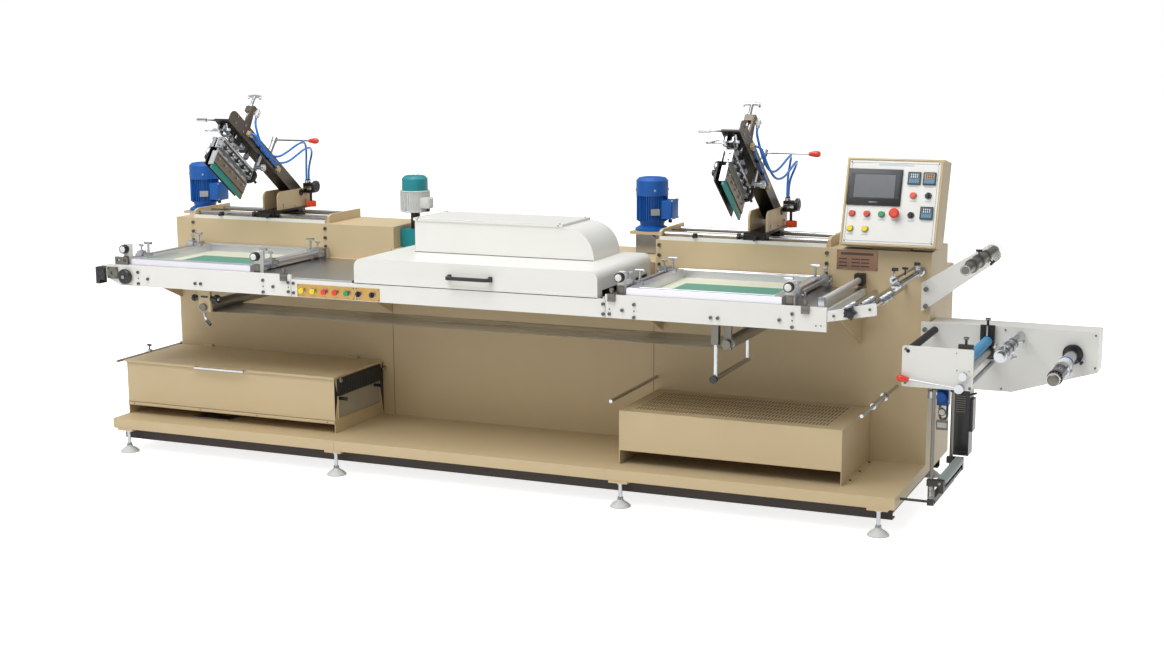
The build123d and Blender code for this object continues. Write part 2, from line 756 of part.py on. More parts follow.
def air_hoses(station):
    """Two air hoses from the arm's fittings to the valve on the carriage."""
    place = Pos(head_place(station), 0, 0)
    return [place * tube_along(route, HOSE_RADIUS) for route in HOSE_ROUTES]


# ------------------------------------------------------------------ table, beds and screens


def rail_tops():
    """Each rail's stretch along X with the height of its top edge."""
    a, b, c, d = RAIL_ENDS
    return ((a, b, RAIL_TOP), (b, c, DRYER_RAIL_TOP), (c, d, RAIL_TOP))


def side_rails():
    """Front rails, back rails, end plates, gussets and the hood's hinge lugs."""
    y = (RAIL_FRONT, RAIL_FRONT + RAIL_THICK)
    back = (CABINET_FRONT - BACK_RAIL, CABINET_FRONT)
    parts = []
    for start, end, top in rail_tops():
        low_left = 70 if start == RAIL_ENDS[0] else 0
        rise = 32 if low_left else 0
        outline = [
            (start, RAIL_LOW + rise),
            (start + low_left, RAIL_LOW),
            (end, RAIL_LOW),
            (end, top),
            (start, top),
        ]
        if not low_left:
            outline = outline[1:]
        parts.append(prism("y", outline, y))
        back_top = min(top, BED_TOP) - (0 if top > BED_TOP else 4)
        parts.append(block((start, end), back, (RAIL_LOW, back_top)))
    for plate_x in RAIL_PLATES_X:
        parts.append(block(plate_x, (RAIL_FRONT - FACE_THICK, RAIL_FRONT), RAIL_PLATES_Z))
    parts += rail_fittings()
    inside = (y[1], back[0])
    ends = (RAIL_ENDS[0], RAIL_ENDS[3])
    parts.append(block((ends[0], ends[0] + RAIL_THICK), inside, (RAIL_LOW + 35, BED_TOP)))
    parts.append(block((ends[1] - RAIL_THICK, ends[1]), inside, (RAIL_LOW + 35, BED_TOP)))
    gusset = [(CABINET_FRONT, 631), (CABINET_FRONT, RAIL_LOW), (200, RAIL_LOW)]
    for x in (6.0, 1140.0, 2440.0, 3290.0):
        parts.append(prism("x", gusset, (x, x + 8)))
    hinge_y, hinge_z = HOOD_HINGE
    for x in HINGE_PLACES:
        for side in (-1, 1):
            lug_x = sorted((x + side * (20 + SEAT), x + side * 38))
            lug = block(lug_x, (hinge_y, CABINET_FRONT), (hinge_z - 9, hinge_z + 9))
            lug += bar("x", lug_x, HOOD_HINGE, 9)
            if side == 1:
                lug += bar("x", (x - 21, x + 21), HOOD_HINGE, HINGE_PIN)
            parts.append(lug)
    return parts


def rail_fittings():
    """Left end block, square plate, hand knob, tab and the small clamps on the front rail."""
    front = RAIL_FRONT
    back = RAIL_FRONT + RAIL_THICK
    left, low, high = RAIL_BLOCK
    end_block = block((left, RAIL_ENDS[0]), (front - 4, back + 34), (low + 34, high))
    end_block -= block((left + 10, RAIL_ENDS[0] - 10), (front - 5, back + 35),
                       (low + 44, high - 14))
    end_block += block((left, left + 20), (front - 4, back + 34), (low, low + 36))
    x0, x1, z0, z1 = RAIL_SQUARE
    square = block((x0, x1), (front - 8, front), (z0, z1))
    square -= bar("y", (front - 9, front - 4), ((x0 + x1) / 2, (z0 + z1) / 2), 9)
    knob_x, knob_z, radius = RAIL_KNOB
    profile = [(0, 0), (10, 0), (10, 8), (radius, 8), (radius, 19), (radius - 5, 25), (0, 25)]
    knob = Pos(knob_x, front, knob_z) * Rot(90, 0, 0) * turned(profile, (0, 0, 0), "z")
    tab_x0, tab_x1, tab_top = RAIL_TAB
    tab = block((tab_x0, tab_x1), (front, back - 4), (RAIL_TOP, tab_top))
    tab -= bar("y", (front - 1, back), (tab_x0 + 18, RAIL_TOP + 20), 5)
    tab -= bar("y", (front - 1, back), (tab_x1 - 18, RAIL_TOP + 20), 5)
    parts = [end_block, square, knob, tab]
    for x in RAIL_CLAMPS_X:
        clamp = block((x - 15, x + 15), (front - 10, front), (RAIL_TOP - 26, RAIL_TOP + 4))
        clamp += block((x - 15, x + 15), (front - 10, back - 2), (RAIL_TOP, RAIL_TOP + 4))
        clamp += bar("z", (RAIL_TOP + 4, RAIL_TOP + 12), (x, front - 2), 4)
        clamp += bar("z", (RAIL_TOP + 12, RAIL_TOP + 26), (x, front - 2), 9)
        parts.append(clamp)
    return parts


def print_beds():
    """Polished bed plates of the two stations with the dryer's lower bed between them."""
    y = (RAIL_FRONT + RAIL_THICK, CABINET_FRONT - BACK_RAIL)
    first = RAIL_ENDS[0] + RAIL_THICK
    last = RAIL_ENDS[3] - RAIL_THICK
    dryer = (HOOD_X[0] - 18, HOOD_X[1] + 18)
    low = BED_TOP - BED_THICK
    return [
        block((first, dryer[0]), y, (low, BED_TOP)),
        block(dryer, y, (DRYER_BED_TOP - 12, DRYER_BED_TOP)),
        block((dryer[1], last), y, (low, BED_TOP)),
    ]


def screen_limits(station):
    """Outer limits of a screen frame along X."""
    start = STATION_X[station] + SCREEN_START
    return (start, start + SCREEN_WIDTH)


def screen_frames():
    """Two frames of four mitred bars."""
    parts = []
    y0, y1 = SCREEN_Y
    b = SCREEN_BAR
    z = (SCREEN_LOW, SCREEN_HIGH)
    for station in range(2):
        x0, x1 = screen_limits(station)
        bars = (
            [(x0, y0), (x1, y0), (x1 - b, y0 + b), (x0 + b, y0 + b)],
            [(x1, y0), (x1, y1), (x1 - b, y1 - b), (x1 - b, y0 + b)],
            [(x1, y1), (x0, y1), (x0 + b, y1 - b), (x1 - b, y1 - b)],
            [(x0, y1), (x0, y0), (x0 + b, y0 + b), (x0 + b, y1 - b)],
        )
        parts += [prism("z", outline, z) for outline in bars]
    return parts


def screen_meshes():
    """The stretched mesh inside each frame."""
    b = SCREEN_BAR
    y = (SCREEN_Y[0] + b, SCREEN_Y[1] - b)
    meshes = []
    for station in range(2):
        x0, x1 = screen_limits(station)
        meshes.append(block((x0 + b, x1 - b), y, (SCREEN_LOW, SCREEN_LOW + MESH_THICK)))
    return meshes


def screen_clamps():
    """Slide bars beside each frame with brackets, front knobs and two clamps on each bar."""
    parts = []
    bar_z = 893.0
    ends = (-15.0, 490.0)
    for station in range(2):
        x0, x1 = screen_limits(station)
        for side, edge in ((-1, x0), (1, x1)):
            x = edge + side * 28
            bracket = (x - 13, x + 13)
            parts.append(block(bracket, (-45, ends[0]), (BED_TOP, 958)))
            parts.append(block(bracket, (ends[1], 516), (BED_TOP, 908)))
            parts.append(bar("y", ends, (x, bar_z), 8))
            parts.append(bar("y", (-71, -45), (x, 938), 18))
            for y in (62, 440):
                slider = block((x - 14, x + 14), (y - 16, y + 16), (bar_z - 18, bar_z + 24))
                slider -= bar("y", (y - 17, y + 17), (x, bar_z), 8)
                parts.append(slider)
                jaw_x = sorted((x - side * 14, edge - side * 24))
                jaw = block(jaw_x, (y - 11, y + 11), (SCREEN_HIGH, SCREEN_HIGH + 12))
                screw_x = edge - side * 10
                jaw += bar("z", (SCREEN_HIGH + 12, 950), (screw_x, y), 5)
                jaw += bar("x", (screw_x - 19, screw_x + 19), (y, 952), 5)
                parts.append(jaw)
                foot_x = sorted((edge, edge - side * 22))
                parts.append(block(foot_x, (y - 11, y + 11), (BED_TOP, SCREEN_LOW)))
    return parts


# ------------------------------------------------------------------ dryer hood


def dryer_hood():
    """Folded cover with web slots in its ends, the heater box on it and a bow handle."""
    x0, x1 = HOOD_X
    top = HOOD_TOP
    low = DRYER_RAIL_TOP + SEAT
    wall = SHEET
    outline = [(x0, low), (x1, low), (x1, top), (x0, top)]
    shoulder = HOOD_SHOULDER
    shell = prism("y", outline, HOOD_Y, [0, 0, shoulder, shoulder])
    inner_outline = [(x0 + wall, low - 1), (x1 - wall, low - 1), (x1 - wall, top - wall),
                     (x0 + wall, top - wall)]
    inner_y = (HOOD_Y[0] + wall, HOOD_Y[1] - wall)
    shell -= prism("y", inner_outline, inner_y, [0, 0, shoulder - wall, shoulder - wall])
    slot_y = (HOOD_Y[0] + 50, HOOD_Y[1] - 40)
    for x in ((x0 - 1, x0 + wall + 1), (x1 - wall - 1, x1 + 1)):
        shell -= block(x, slot_y, (low - 1, low + HOOD_SLOT))
    hinge_y, hinge_z = HOOD_HINGE
    for x in HINGE_PLACES:
        leaf = block((x - 20, x + 20), (HOOD_Y[1], hinge_y), (hinge_z - 8, hinge_z + 8))
        leaf += bar("x", (x - 20, x + 20), HOOD_HINGE, 9)
        shell += leaf - bar("x", (x - 21, x + 21), HOOD_HINGE, HINGE_PIN + RUNNING)
    h0, h1 = HEATER_X
    round_end = HEATER_SHOULDER
    height = HEATER_TOP - 10
    heater_outline = [(h0, top), (h1 + round_end, top), (h1 + round_end, height), (h0, height)]
    heater = prism("y", heater_outline, HEATER_Y, [0, 0, round_end - 12, 4])
    inner = [(h0 + wall, top - 1), (h1 + round_end - wall, top - 1),
             (h1 + round_end - wall, height - wall), (h0 + wall, height - wall)]
    heater_inner_y = (HEATER_Y[0] + wall, HEATER_Y[1] - wall)
    heater -= prism("y", inner, heater_inner_y, [0, 0, round_end - 12 - wall, 2])
    lid = block((h0 - 5, h1 + 5), (HEATER_Y[0] - 5, HEATER_Y[1] + 5), (height, HEATER_TOP))
    grip_y = HOOD_Y[0] - 32
    g0, g1 = HOOD_HANDLE_X
    bow = [(g0, HOOD_Y[0]), (g0, grip_y - 6), (g1, grip_y - 6), (g1, HOOD_Y[0])]
    bow += [(g1 - 12, HOOD_Y[0]), (g1 - 12, grip_y + 6), (g0 + 12, grip_y + 6),
            (g0 + 12, HOOD_Y[0])]
    grip = prism("z", bow, (895, 909), [0, 16, 16, 0, 0, 4, 4, 0])
    return [shell, heater, lid, grip]


# ------------------------------------------------------------------ boxes on the plinth


def lidded_box():
    """Open-topped box with a slot under it, a window in its right wall and a web bar."""
    x0, x1 = BOX_X
    back = CABINET_FRONT - BACK_GAP
    y = (BOX_FRONT, back)
    top = LID_TOP - SHEET - SEAT
    inside_x = (x0 + SHEET, x1 - SHEET)
    inside_y = (y[0] + SHEET, y[1] - SHEET)
    body = block((x0, x1), y, (PLINTH_TOP, top))
    body -= block(inside_x, inside_y, (BOX_FLOOR, top + 1))
    body -= block(inside_x, (y[0] - 1, inside_y[1]), (PLINTH_TOP - 1, BOX_FLOOR - SHEET))
    w0, w1, w2, w3 = BOX_WINDOW
    body -= block((x1 - SHEET - 1, x1 + 1), (w0, w1), (w2, w3))
    body += block((x0, x1), (y[0] - 5, y[0]), (BOX_FLOOR - SHEET, BOX_FLOOR + 12))
    hinge_y, hinge_z = LID_HINGE
    for x in (x0 + 150, x1 - 150):
        for side in (-1, 1):
            ear_x = sorted((x + side * (20 + SEAT), x + side * 27))
            body += block(ear_x, (hinge_y - 6, back), (top, hinge_z + 6))
        body += bar("x", (x - 21, x + 21), (hinge_y, hinge_z), 3)
    pane = block((x1 - SHEET - 2, x1 - SHEET), (w0 - 4, w1 + 4), (w2 - 4, w3 + 4))
    curtain = block((x1, x1 + 10), (136, 500), (w3, 392))
    carrier = bar("y", (500, CABINET_FRONT), (x1 + 12, 368), 8)
    disc = bar("x", (x1 + 10, x1 + 14), (148, 385), 11)
    toggles = [bar("x", (x1 - SHEET, x1 + 26), (y_knob, z_knob), 7)
               for y_knob, z_knob in ((158, 303), (462, 303))]
    tray_plate = block((330, 520), (150, 330), (PLINTH_TOP, PLINTH_TOP + 4))
    return [body, pane, curtain, carrier, disc, *toggles, tray_plate]


def box_lid():
    """Lid with turned-down lips, a bow handle in front and hinge knuckles at the back."""
    x0, x1 = BOX_X
    play = SHEET + 0.5
    x = (x0 - play, x1 + play)
    y = (BOX_FRONT - play - 5, LID_HINGE[0] - 8)
    z = (LID_TOP - LID_LIP, LID_TOP)
    lid = block(x, y, z)
    lid -= block((x[0] + SHEET, x[1] - SHEET), (y[0] + SHEET, y[1] + 1), (z[0] - 1, z[1] - SHEET))
    hinge_y, hinge_z = LID_HINGE
    for centre in (x0 + 150, x1 - 150):
        knuckle = block((centre - 20, centre + 20), (y[1] - 12, hinge_y), (LID_TOP - SHEET, LID_TOP + 1))
        knuckle += bar("x", (centre - 20, centre + 20), (hinge_y, hinge_z), 6)
        lid += knuckle - bar("x", (centre - 21, centre + 21), (hinge_y, hinge_z), 3 + RUNNING)
    g0, g1 = 388.0, 648.0
    front = y[0]
    bow = [(g0, front), (g0, front - 22), (g1, front - 22), (g1, front)]
    bow += [(g1 - 10, front), (g1 - 10, front - 12), (g0 + 10, front - 12), (g0 + 10, front)]
    grip = prism("z", bow, (LID_TOP - 9, LID_TOP - 1), [0, 8, 8, 0, 0, 2, 2, 0])
    return [lid, grip]


def vented_box():
    """Cover with rows of slots in its top, a slot below its front and a foot flange."""
    x0, x1 = VENT_X
    back = CABINET_FRONT - BACK_GAP
    y = (VENT_FRONT, back)
    body = block((x0, x1), y, (PLINTH_TOP, VENT_TOP))
    inside = (x0 + SHEET, x1 - SHEET)
    body -= block(inside, (y[0] + SHEET, y[1] - SHEET), (PLINTH_TOP - 1, VENT_TOP - SHEET))
    body -= block(inside, (y[0] - 1, y[0] + SHEET + 1), (PLINTH_TOP - 1, VENT_LOW))
    pitch_x = (x1 - x0 - 110) / VENT_COLUMNS
    pitch_y = 300.0 / VENT_ROWS
    for row in range(VENT_ROWS):
        for column in range(VENT_COLUMNS):
            x = x0 + 55 + pitch_x * (column + 0.5)
            slot_y = 165 + pitch_y * (row + 0.5)
            hole = block((x - 20, x + 20), (slot_y - 9, slot_y + 9), (VENT_TOP - 4, VENT_TOP + 1))
            body -= hole
    flange = block((x1, x1 + 26), (150, 520), (PLINTH_TOP, PLINTH_TOP + SHEET))
    return [body, flange]


# ------------------------------------------------------------------ operator panel

PANEL_RUN = PANEL_HEAD[0] - PANEL_FOOT[0]
PANEL_RISE = PANEL_HEAD[1] - PANEL_FOOT[1]
PANEL_LEAN = degrees(atan2(PANEL_RUN, PANEL_RISE))
PANEL_WIDTH = PANEL_X[1] - PANEL_X[0]
PANEL_HEIGHT = (PANEL_RUN**2 + PANEL_RISE**2) ** 0.5
SCREEN_FIELD = (14.0, 227.0, 164.0, 310.0)
METER_PLACES = ((274.0, 278.0), (334.0, 278.0), (335.0, 140.0))
METER_HALF = 24.0
LAMP_PLACE = (40.0, 129.0)


def panel_seat():
    """Takes what is drawn on a flat face, across X and up Y, to the leaning panel face."""
    return Pos(PANEL_X[0], *PANEL_FOOT) * Rot(90 - PANEL_LEAN, 0, 0)


PANEL_BUTTONS = {
    "start_button": (158.0, 129.0),
    "stop_button": (100.0, 129.0),
    "reset_button": (276.0, 209.0),
    "jog_button_1": (38.0, 68.0),
    "jog_button_2": (98.0, 68.0),
}
PANEL_SELECTORS = {"mode_selector": (274.0, 130.0), "heat_selector": (335.0, 210.0)}
EMERGENCY_STOP = (212.0, 131.0)
RAIL_BUTTON_Z = 809.0
RAIL_BUTTONS = {
    "feed_button_1": 1068.0,
    "feed_button_2": 1121.0,
    "print_button_1": 1175.0,
    "print_button_2": 1228.0,
    "run_button": 1283.0,
}
RAIL_SELECTORS = {"lamp_selector": 1338.0, "fan_selector": 1403.0}
STEM_HALF = 7.0
HOLE_HALF = 7.6


def stem_hole(place, depth):
    """A square hole for a button's stem, drawn on a flat face."""
    x, y = place
    return block((x - HOLE_HALF, x + HOLE_HALF), (y - HOLE_HALF, y + HOLE_HALF), (-depth, 5))


def control_panel():
    """Leaning sheet housing with a face plate, a rear cover and a pedestal."""
    drop = 20.0
    far = (PANEL_FOOT[0] + PANEL_DEPTH - 4, PANEL_FOOT[1] - drop)
    far_top = (PANEL_HEAD[0] + PANEL_DEPTH + 6, PANEL_HEAD[1] - drop - 3)
    outline = [PANEL_FOOT, PANEL_HEAD, far_top, far]
    housing = prism("x", outline, PANEL_X, [3, 3, 3, 3])
    hollow = block(
        (SHEET, PANEL_WIDTH - SHEET),
        (SHEET + 2, PANEL_HEIGHT - SHEET - 8),
        (-PANEL_DEPTH + 16, -SHEET),
    )
    housing -= panel_seat() * hollow
    face = block(
        (FACE_INSET, PANEL_WIDTH - FACE_INSET),
        (FACE_INSET, PANEL_HEIGHT - FACE_INSET),
        (0, FACE_THICK),
    )
    for place in (*PANEL_BUTTONS.values(), EMERGENCY_STOP):
        hole = stem_hole(place, 10)
        face -= hole
        housing -= panel_seat() * hole
    near = 560.0
    slope = drop / (PANEL_DEPTH - 4)
    feet = [(near, BEAM_TOP), (near + 40, BEAM_TOP)]
    feet += [(y, PANEL_FOOT[1] - (y - PANEL_FOOT[0]) * slope) for y in (near + 40, near)]
    pedestal = prism("x", feet, (PANEL_X[0] + 110, PANEL_X[0] + 270))
    return [housing, panel_seat() * face, pedestal]


def panel_displays():
    """Touch screen, three meters and a round lamp on the face plate."""
    u0, u1, v0, v1 = SCREEN_FIELD
    z = (FACE_THICK, FACE_THICK + 6)
    parts = [block((u0, u1), (v0, v1), z)]
    h = METER_HALF
    for u, v in METER_PLACES:
        parts.append(block((u - h, u + h), (v - h, v + h), z))
    parts.append(bar("z", (FACE_THICK, FACE_THICK + 12), LAMP_PLACE, 11))
    return [panel_seat() * part for part in parts]


def push_button(radius=BUTTON_RADIUS):
    """A button drawn on a flat face: square stem behind a round head."""
    gap = FACE_THICK + BUTTON_TRAVEL + SEAT
    stem = block((-STEM_HALF, STEM_HALF), (-STEM_HALF, STEM_HALF), (-BUTTON_STEM, gap + 1))
    return stem + bar("z", (gap, FACE_THICK + BUTTON_STAND), (0, 0), radius)


def mushroom_button():
    """The emergency stop: square stem, neck and a wide domed head."""
    gap = FACE_THICK + BUTTON_TRAVEL + 1 + SEAT
    stem = block((-STEM_HALF, STEM_HALF), (-STEM_HALF, STEM_HALF), (-BUTTON_STEM, gap + 1))
    head = [(0, gap), (12, gap), (12, gap + 12), (20, gap + 15), (20, gap + 22), (14, gap + 27),
            (0, gap + 27)]
    return stem + turned(head, (0, 0, 0))


def selector():
    """A rotary selector on a flat face: round base with a raised grip across it."""
    base = bar("z", (FACE_THICK + SEAT, FACE_THICK + 9), (0, 0), BUTTON_RADIUS)
    return base + block((-3, 3), (-10, 10), (FACE_THICK + 8, FACE_THICK + 17))


def controls():
    """Every moving button and selector, each its own node."""
    nodes = {}
    for name, (u, v) in PANEL_BUTTONS.items():
        nodes[name] = [panel_seat() * Pos(u, v, 0) * push_button()]
    u, v = EMERGENCY_STOP
    nodes["emergency_stop"] = [panel_seat() * Pos(u, v, 0) * mushroom_button()]
    for name, (u, v) in PANEL_SELECTORS.items():
        nodes[name] = [panel_seat() * Pos(u, v, 0) * selector()]
    for name, x in RAIL_BUTTONS.items():
        seat = Pos(x, RAIL_FRONT, RAIL_BUTTON_Z) * Rot(90, 0, 0)
        nodes[name] = [seat * push_button()]
    for name, x in RAIL_SELECTORS.items():
        seat = Pos(x, RAIL_FRONT, RAIL_BUTTON_Z) * Rot(90, 0, 0)
        nodes[name] = [seat * selector()]
    return nodes


def drill_rail(parts):
    """Cuts the buttons' stem holes through the rail that carries them."""
    drilled = []
    for part in parts:
        box = part.bounding_box()
        if box.min.Y < RAIL_FRONT + 1 and box.min.X < 1100 < box.max.X:
            for x in RAIL_BUTTONS.values():
                part -= block(
                    (x - HOLE_HALF, x + HOLE_HALF),
                    (RAIL_FRONT - FACE_THICK - 1, RAIL_FRONT + RAIL_THICK + 1),
                    (RAIL_BUTTON_Z - HOLE_HALF, RAIL_BUTTON_Z + HOLE_HALF),
                )
        drilled.append(part)
    return drilled


# ------------------------------------------------------------------ web path under the table

WEB_ROLLER_Y = (-16.0, 460.0)
WEB_STUB = 8.0
TENSION_X = 2878.0
TENSION_Y = (-43.0, 355.0)
TENSION_LOW = 568.0
TENSION_BAR = 8.0


def under_roller(index):
    """A roller under the table with stub shafts and an end disc."""
    x = WEB_ROLLER_X[index]
    z = WEB_Z + WEB_ROLLER + WEB_THICK / 2 + SEAT
    y0, y1 = WEB_ROLLER_Y
    profile = [
        (0, y0 - 32),
        (17, y0 - 32),
        (17, y0 - 22),
        (WEB_STUB, y0 - 22),
        (WEB_STUB, y0),
        (WEB_ROLLER, y0),
        (WEB_ROLLER, y1),
        (WEB_STUB, y1),
        (WEB_STUB, y1 + 14),
        (0, y1 + 14),
    ]
    return [turned(profile, (x, 0, z), "y")]


def roller_hangers():
    """Plates that hang both under-table rollers, with the guides of the tension bar."""
    parts = []
    low_bed = BED_TOP - BED_THICK
    z = WEB_Z + WEB_ROLLER + WEB_THICK / 2 + SEAT
    y0, y1 = WEB_ROLLER_Y
    for x, half in zip(WEB_ROLLER_X, (30, 15)):
        for y in ((y0 - 14, y0 - SEAT), (y1 + SEAT, y1 + 14)):
            plate = block((x - half, x + half), y, (z - 22, low_bed))
            parts.append(plate - bar("y", (y[0] - 1, y[1] + 1), (x, z), WEB_STUB + RUNNING))
    x = WEB_ROLLER_X[0]
    knob_at = ((y0 * 2 - 14) / 2, z + 36)
    for ends in ((x - 48, x - 30), (x + 30, x + 52)):
        parts.append(bar("x", ends, knob_at, 11))
    for y in TENSION_Y:
        guide = block((TENSION_X - 14, TENSION_X + 14), (y - 14, y + 14), (700, low_bed))
        parts.append(guide - bar("z", (699, 832), (TENSION_X, y), TENSION_BAR + RUNNING))
    return parts


def tension_bar():
    """A bar across the web on two rods that slide in their guides."""
    parts = []
    y0, y1 = TENSION_Y
    frame = bar("y", (y0 - 14, y1 + 14), (TENSION_X, TENSION_LOW), TENSION_BAR + 2)
    for y in TENSION_Y:
        frame += bar("z", (TENSION_LOW, 768), (TENSION_X, y), TENSION_BAR)
    parts.append(frame)
    parts.append(bar("y", (y0 - 30, y0 - 14), (TENSION_X, TENSION_LOW), 15))
    return parts


def return_web():
    """The film that runs back between the two under-table rollers."""
    z = (WEB_Z - WEB_THICK / 2, WEB_Z + WEB_THICK / 2)
    return [block(WEB_ROLLER_X, WEB_Y, z)]


# ------------------------------------------------------------------ winding side

REEL_ARM = ((3535.0, 776.0), (3846.0, 1008.0), (3806.0, 1064.0), (3535.0, 892.0))
UPPER_REEL = (3812.0, 1034.0)
REWIND = (4125.0, 651.0)
COLLAR_SHAFT = (3925.0, 708.0)
IDLE_ROLLER = (3592.0, 708.0)
HANGER_AT_X = 3684.0
HANGER_AT_Y = (100.0, 470.0)
HANGER_ROD = 7.0
DANCER_X = 3716.0
DANCER_RADIUS = 19.0
LEVER_PIVOT = (3786.0, 583.0)
REEL_STUB = 10.0
ROLLER_STUB = 7.0
SLIDE_BLOCK = 20.0


def winder_frame():
    """Reel arm, winder cover, nip plates, slide blocks, spacers and the dancer's rods."""
    plate_y = (WINDER_BACK - WINDER_PLATE, WINDER_BACK)
    bore_y = (plate_y[0] - 1, plate_y[1] + 1)
    parts = []
    reel_arm = prism("y", REEL_ARM, plate_y, [4, 24, 24, 4])
    parts.append(reel_arm - bar("y", bore_y, UPPER_REEL, REEL_STUB + RUNNING))
    x0, x1 = COVER_X
    top = COVER_TOP
    low = COVER_LOW
    step_x, step_z = COVER_STEP
    edge = [(x0, low), (step_x, low), (x1, step_z), (x1, top), (x0, top)]
    front = prism("y", edge, plate_y, [4, 0, 4, 4, 4])
    front -= bar("y", bore_y, REWIND, REEL_STUB + RUNNING)
    front -= bar("y", bore_y, IDLE_ROLLER, ROLLER_STUB + RUNNING)
    parts.append(front)
    left = LENGTH + 5
    outer = [(left, low), (step_x, low), (x1, step_z), (x1, top), (left, top)]
    hollow = [(left + SHEET, low + SHEET), (step_x - 1, low + SHEET)]
    hollow += [(x1 - SHEET, step_z + SHEET), (x1 - SHEET, top - SHEET)]
    hollow.append((left + SHEET, top - SHEET))
    depth = (WINDER_BACK, WINDER_BACK + COVER_DEPTH)
    parts.append(prism("y", outer, depth) - prism("y", hollow, (depth[0] - 1, depth[1] - SHEET)))
    nip_outline = [(a, b) for a, b in zip(
        (NIP_PLATE_X[0], NIP_PLATE_X[1], NIP_PLATE_X[1], NIP_PLATE_X[0]),
        (NIP_PLATE_Z[0], NIP_PLATE_Z[0], NIP_PLATE_Z[1], NIP_PLATE_Z[1]))]
    nip_plate = prism("y", nip_outline, NIP_PLATE_Y, 8)
    nip_plate -= bar("y", (50, 70), IDLE_ROLLER, ROLLER_STUB + RUNNING)
    nip_plate -= bar("y", (50, 70), LEVER_PIVOT, 6 + RUNNING)
    parts.append(nip_plate)
    parts.append(bar("y", (42, NIP_PLATE_Y[0]), (LEVER_PIVOT[0] + 10, LEVER_PIVOT[1] + 44), 16))
    for x, z in ((3592, 592), (3818, 592)):
        parts.append(bar("y", (NIP_PLATE_Y[1], plate_y[0]), (x, z), 9))
    for y in (
        (NIP_PLATE_Y[1], NIP_PLATE_Y[1] + SLIDE_BLOCK),
        (plate_y[0] - SLIDE_BLOCK, plate_y[0]),
    ):
        slide = block((NIP_X - 27, NIP_X + 27), y, (NIP_LOWER_Z - 30, 742))
        for z in (NIP_UPPER_Z, NIP_LOWER_Z):
            slide -= bar("y", (y[0] - 1, y[1] + 1), (NIP_X, z), ROLLER_STUB + RUNNING)
        screw_at = (NIP_X, sum(y) / 2)
        slide += bar("z", (742, 762), screw_at, 5)
        slide += bar("z", (762, 770), screw_at, 10)
        parts.append(slide)
    rod_y0, rod_y1 = HANGER_AT_Y
    rod_x = HANGER_AT_X
    foot_z = (118, 142)
    parts.append(block((rod_x - 15, rod_x + 15), (NIP_PLATE_Y[1], rod_y0 + 15), (576, 596)))
    parts.append(block((rod_x - 15, rod_x + 15), (rod_y1 - 15, plate_y[0]), (490, 512)))
    parts.append(bar("z", (foot_z[1], 576), (rod_x, rod_y0), HANGER_ROD))
    parts.append(bar("z", (foot_z[1], 490), (rod_x, rod_y1), HANGER_ROD))
    parts.append(block((rod_x - 12, rod_x + 12), (rod_y0 - 12, rod_y1 + 12), foot_z))
    parts.append(bar("x", (LENGTH - SEAM / 2, rod_x - 12), (rod_y0, 130), 5))
    spring_z = (foot_z[1], DANCER_Z - 12 - SEAT)
    parts.append(bar("z", spring_z, (rod_x, rod_y0), 11, bore=HANGER_ROD))
    return parts


def shaft_profile(front, back, core, collars, stub, stub_end):
    """Half profile of a reel shaft: core, raised collars and a stub in its bore."""
    profile = [(0, front), (core, front)]
    for start, end, radius in collars:
        profile += [(core, start), (radius, start), (radius, end), (core, end)]
    profile += [(core, back), (stub, back), (stub, stub_end), (0, stub_end)]
    return profile


def reel_shaft(at, front, core, collars):
    """A reel shaft that turns in the winder's plate."""
    back = WINDER_BACK - WINDER_PLATE - SEAT
    profile = shaft_profile(front, back, core, collars, REEL_STUB, WINDER_BACK - SEAT)
    return [turned(profile, (at[0], 0, at[1]), "y")]


def nip_roller(z):
    """A nip roller between the slide blocks."""
    y0 = NIP_PLATE_Y[1]
    y1 = WINDER_BACK - WINDER_PLATE
    face0 = y0 + SLIDE_BLOCK + SEAT
    face1 = y1 - SLIDE_BLOCK - SEAT
    profile = [(0, y0 + 2), (ROLLER_STUB, y0 + 2), (ROLLER_STUB, face0), (NIP_RADIUS, face0),
               (NIP_RADIUS, face1), (ROLLER_STUB, face1), (ROLLER_STUB, y1 - 2), (0, y1 - 2)]
    return [turned(profile, (NIP_X, 0, z), "y")]


def idle_roller():
    """The dark idle roller between the nip plate and the winder's plate."""
    y0, y1 = NIP_PLATE_Y[1] + SEAT, WINDER_BACK - WINDER_PLATE - SEAT
    stub = ROLLER_STUB
    profile = [(0, y0 - 9), (stub, y0 - 9), (stub, y0), (14, y0), (14, y1), (stub, y1),
               (stub, y1 + 9), (0, y1 + 9)]
    return [turned(profile, (IDLE_ROLLER[0], 0, IDLE_ROLLER[1]), "y")]


def dancer_carrier():
    """Two slide blocks on the hanging rods, joined by a tie under the roller."""
    parts = []
    tie = block((DANCER_X + 2, DANCER_X + 14), (HANGER_AT_Y[0] + 12, HANGER_AT_Y[1] - 12),
                (DANCER_Z - 36, DANCER_Z - 24))
    for y in HANGER_AT_Y:
        slide_x = (HANGER_AT_X - 16, DANCER_X + 16)
        slide = block(slide_x, (y - 12, y + 12), (DANCER_Z - 12, DANCER_Z + 12))
        slide += block((DANCER_X, DANCER_X + 16), (y - 12, y + 12), (DANCER_Z - 36, DANCER_Z - 11))
        slide -= bar("z", (DANCER_Z - 13, DANCER_Z + 13), (HANGER_AT_X, y), HANGER_ROD + RUNNING)
        slide -= bar("y", (y - 13, y + 13), (DANCER_X, DANCER_Z), 6 + RUNNING)
        parts.append(slide)
    return [*parts, tie]


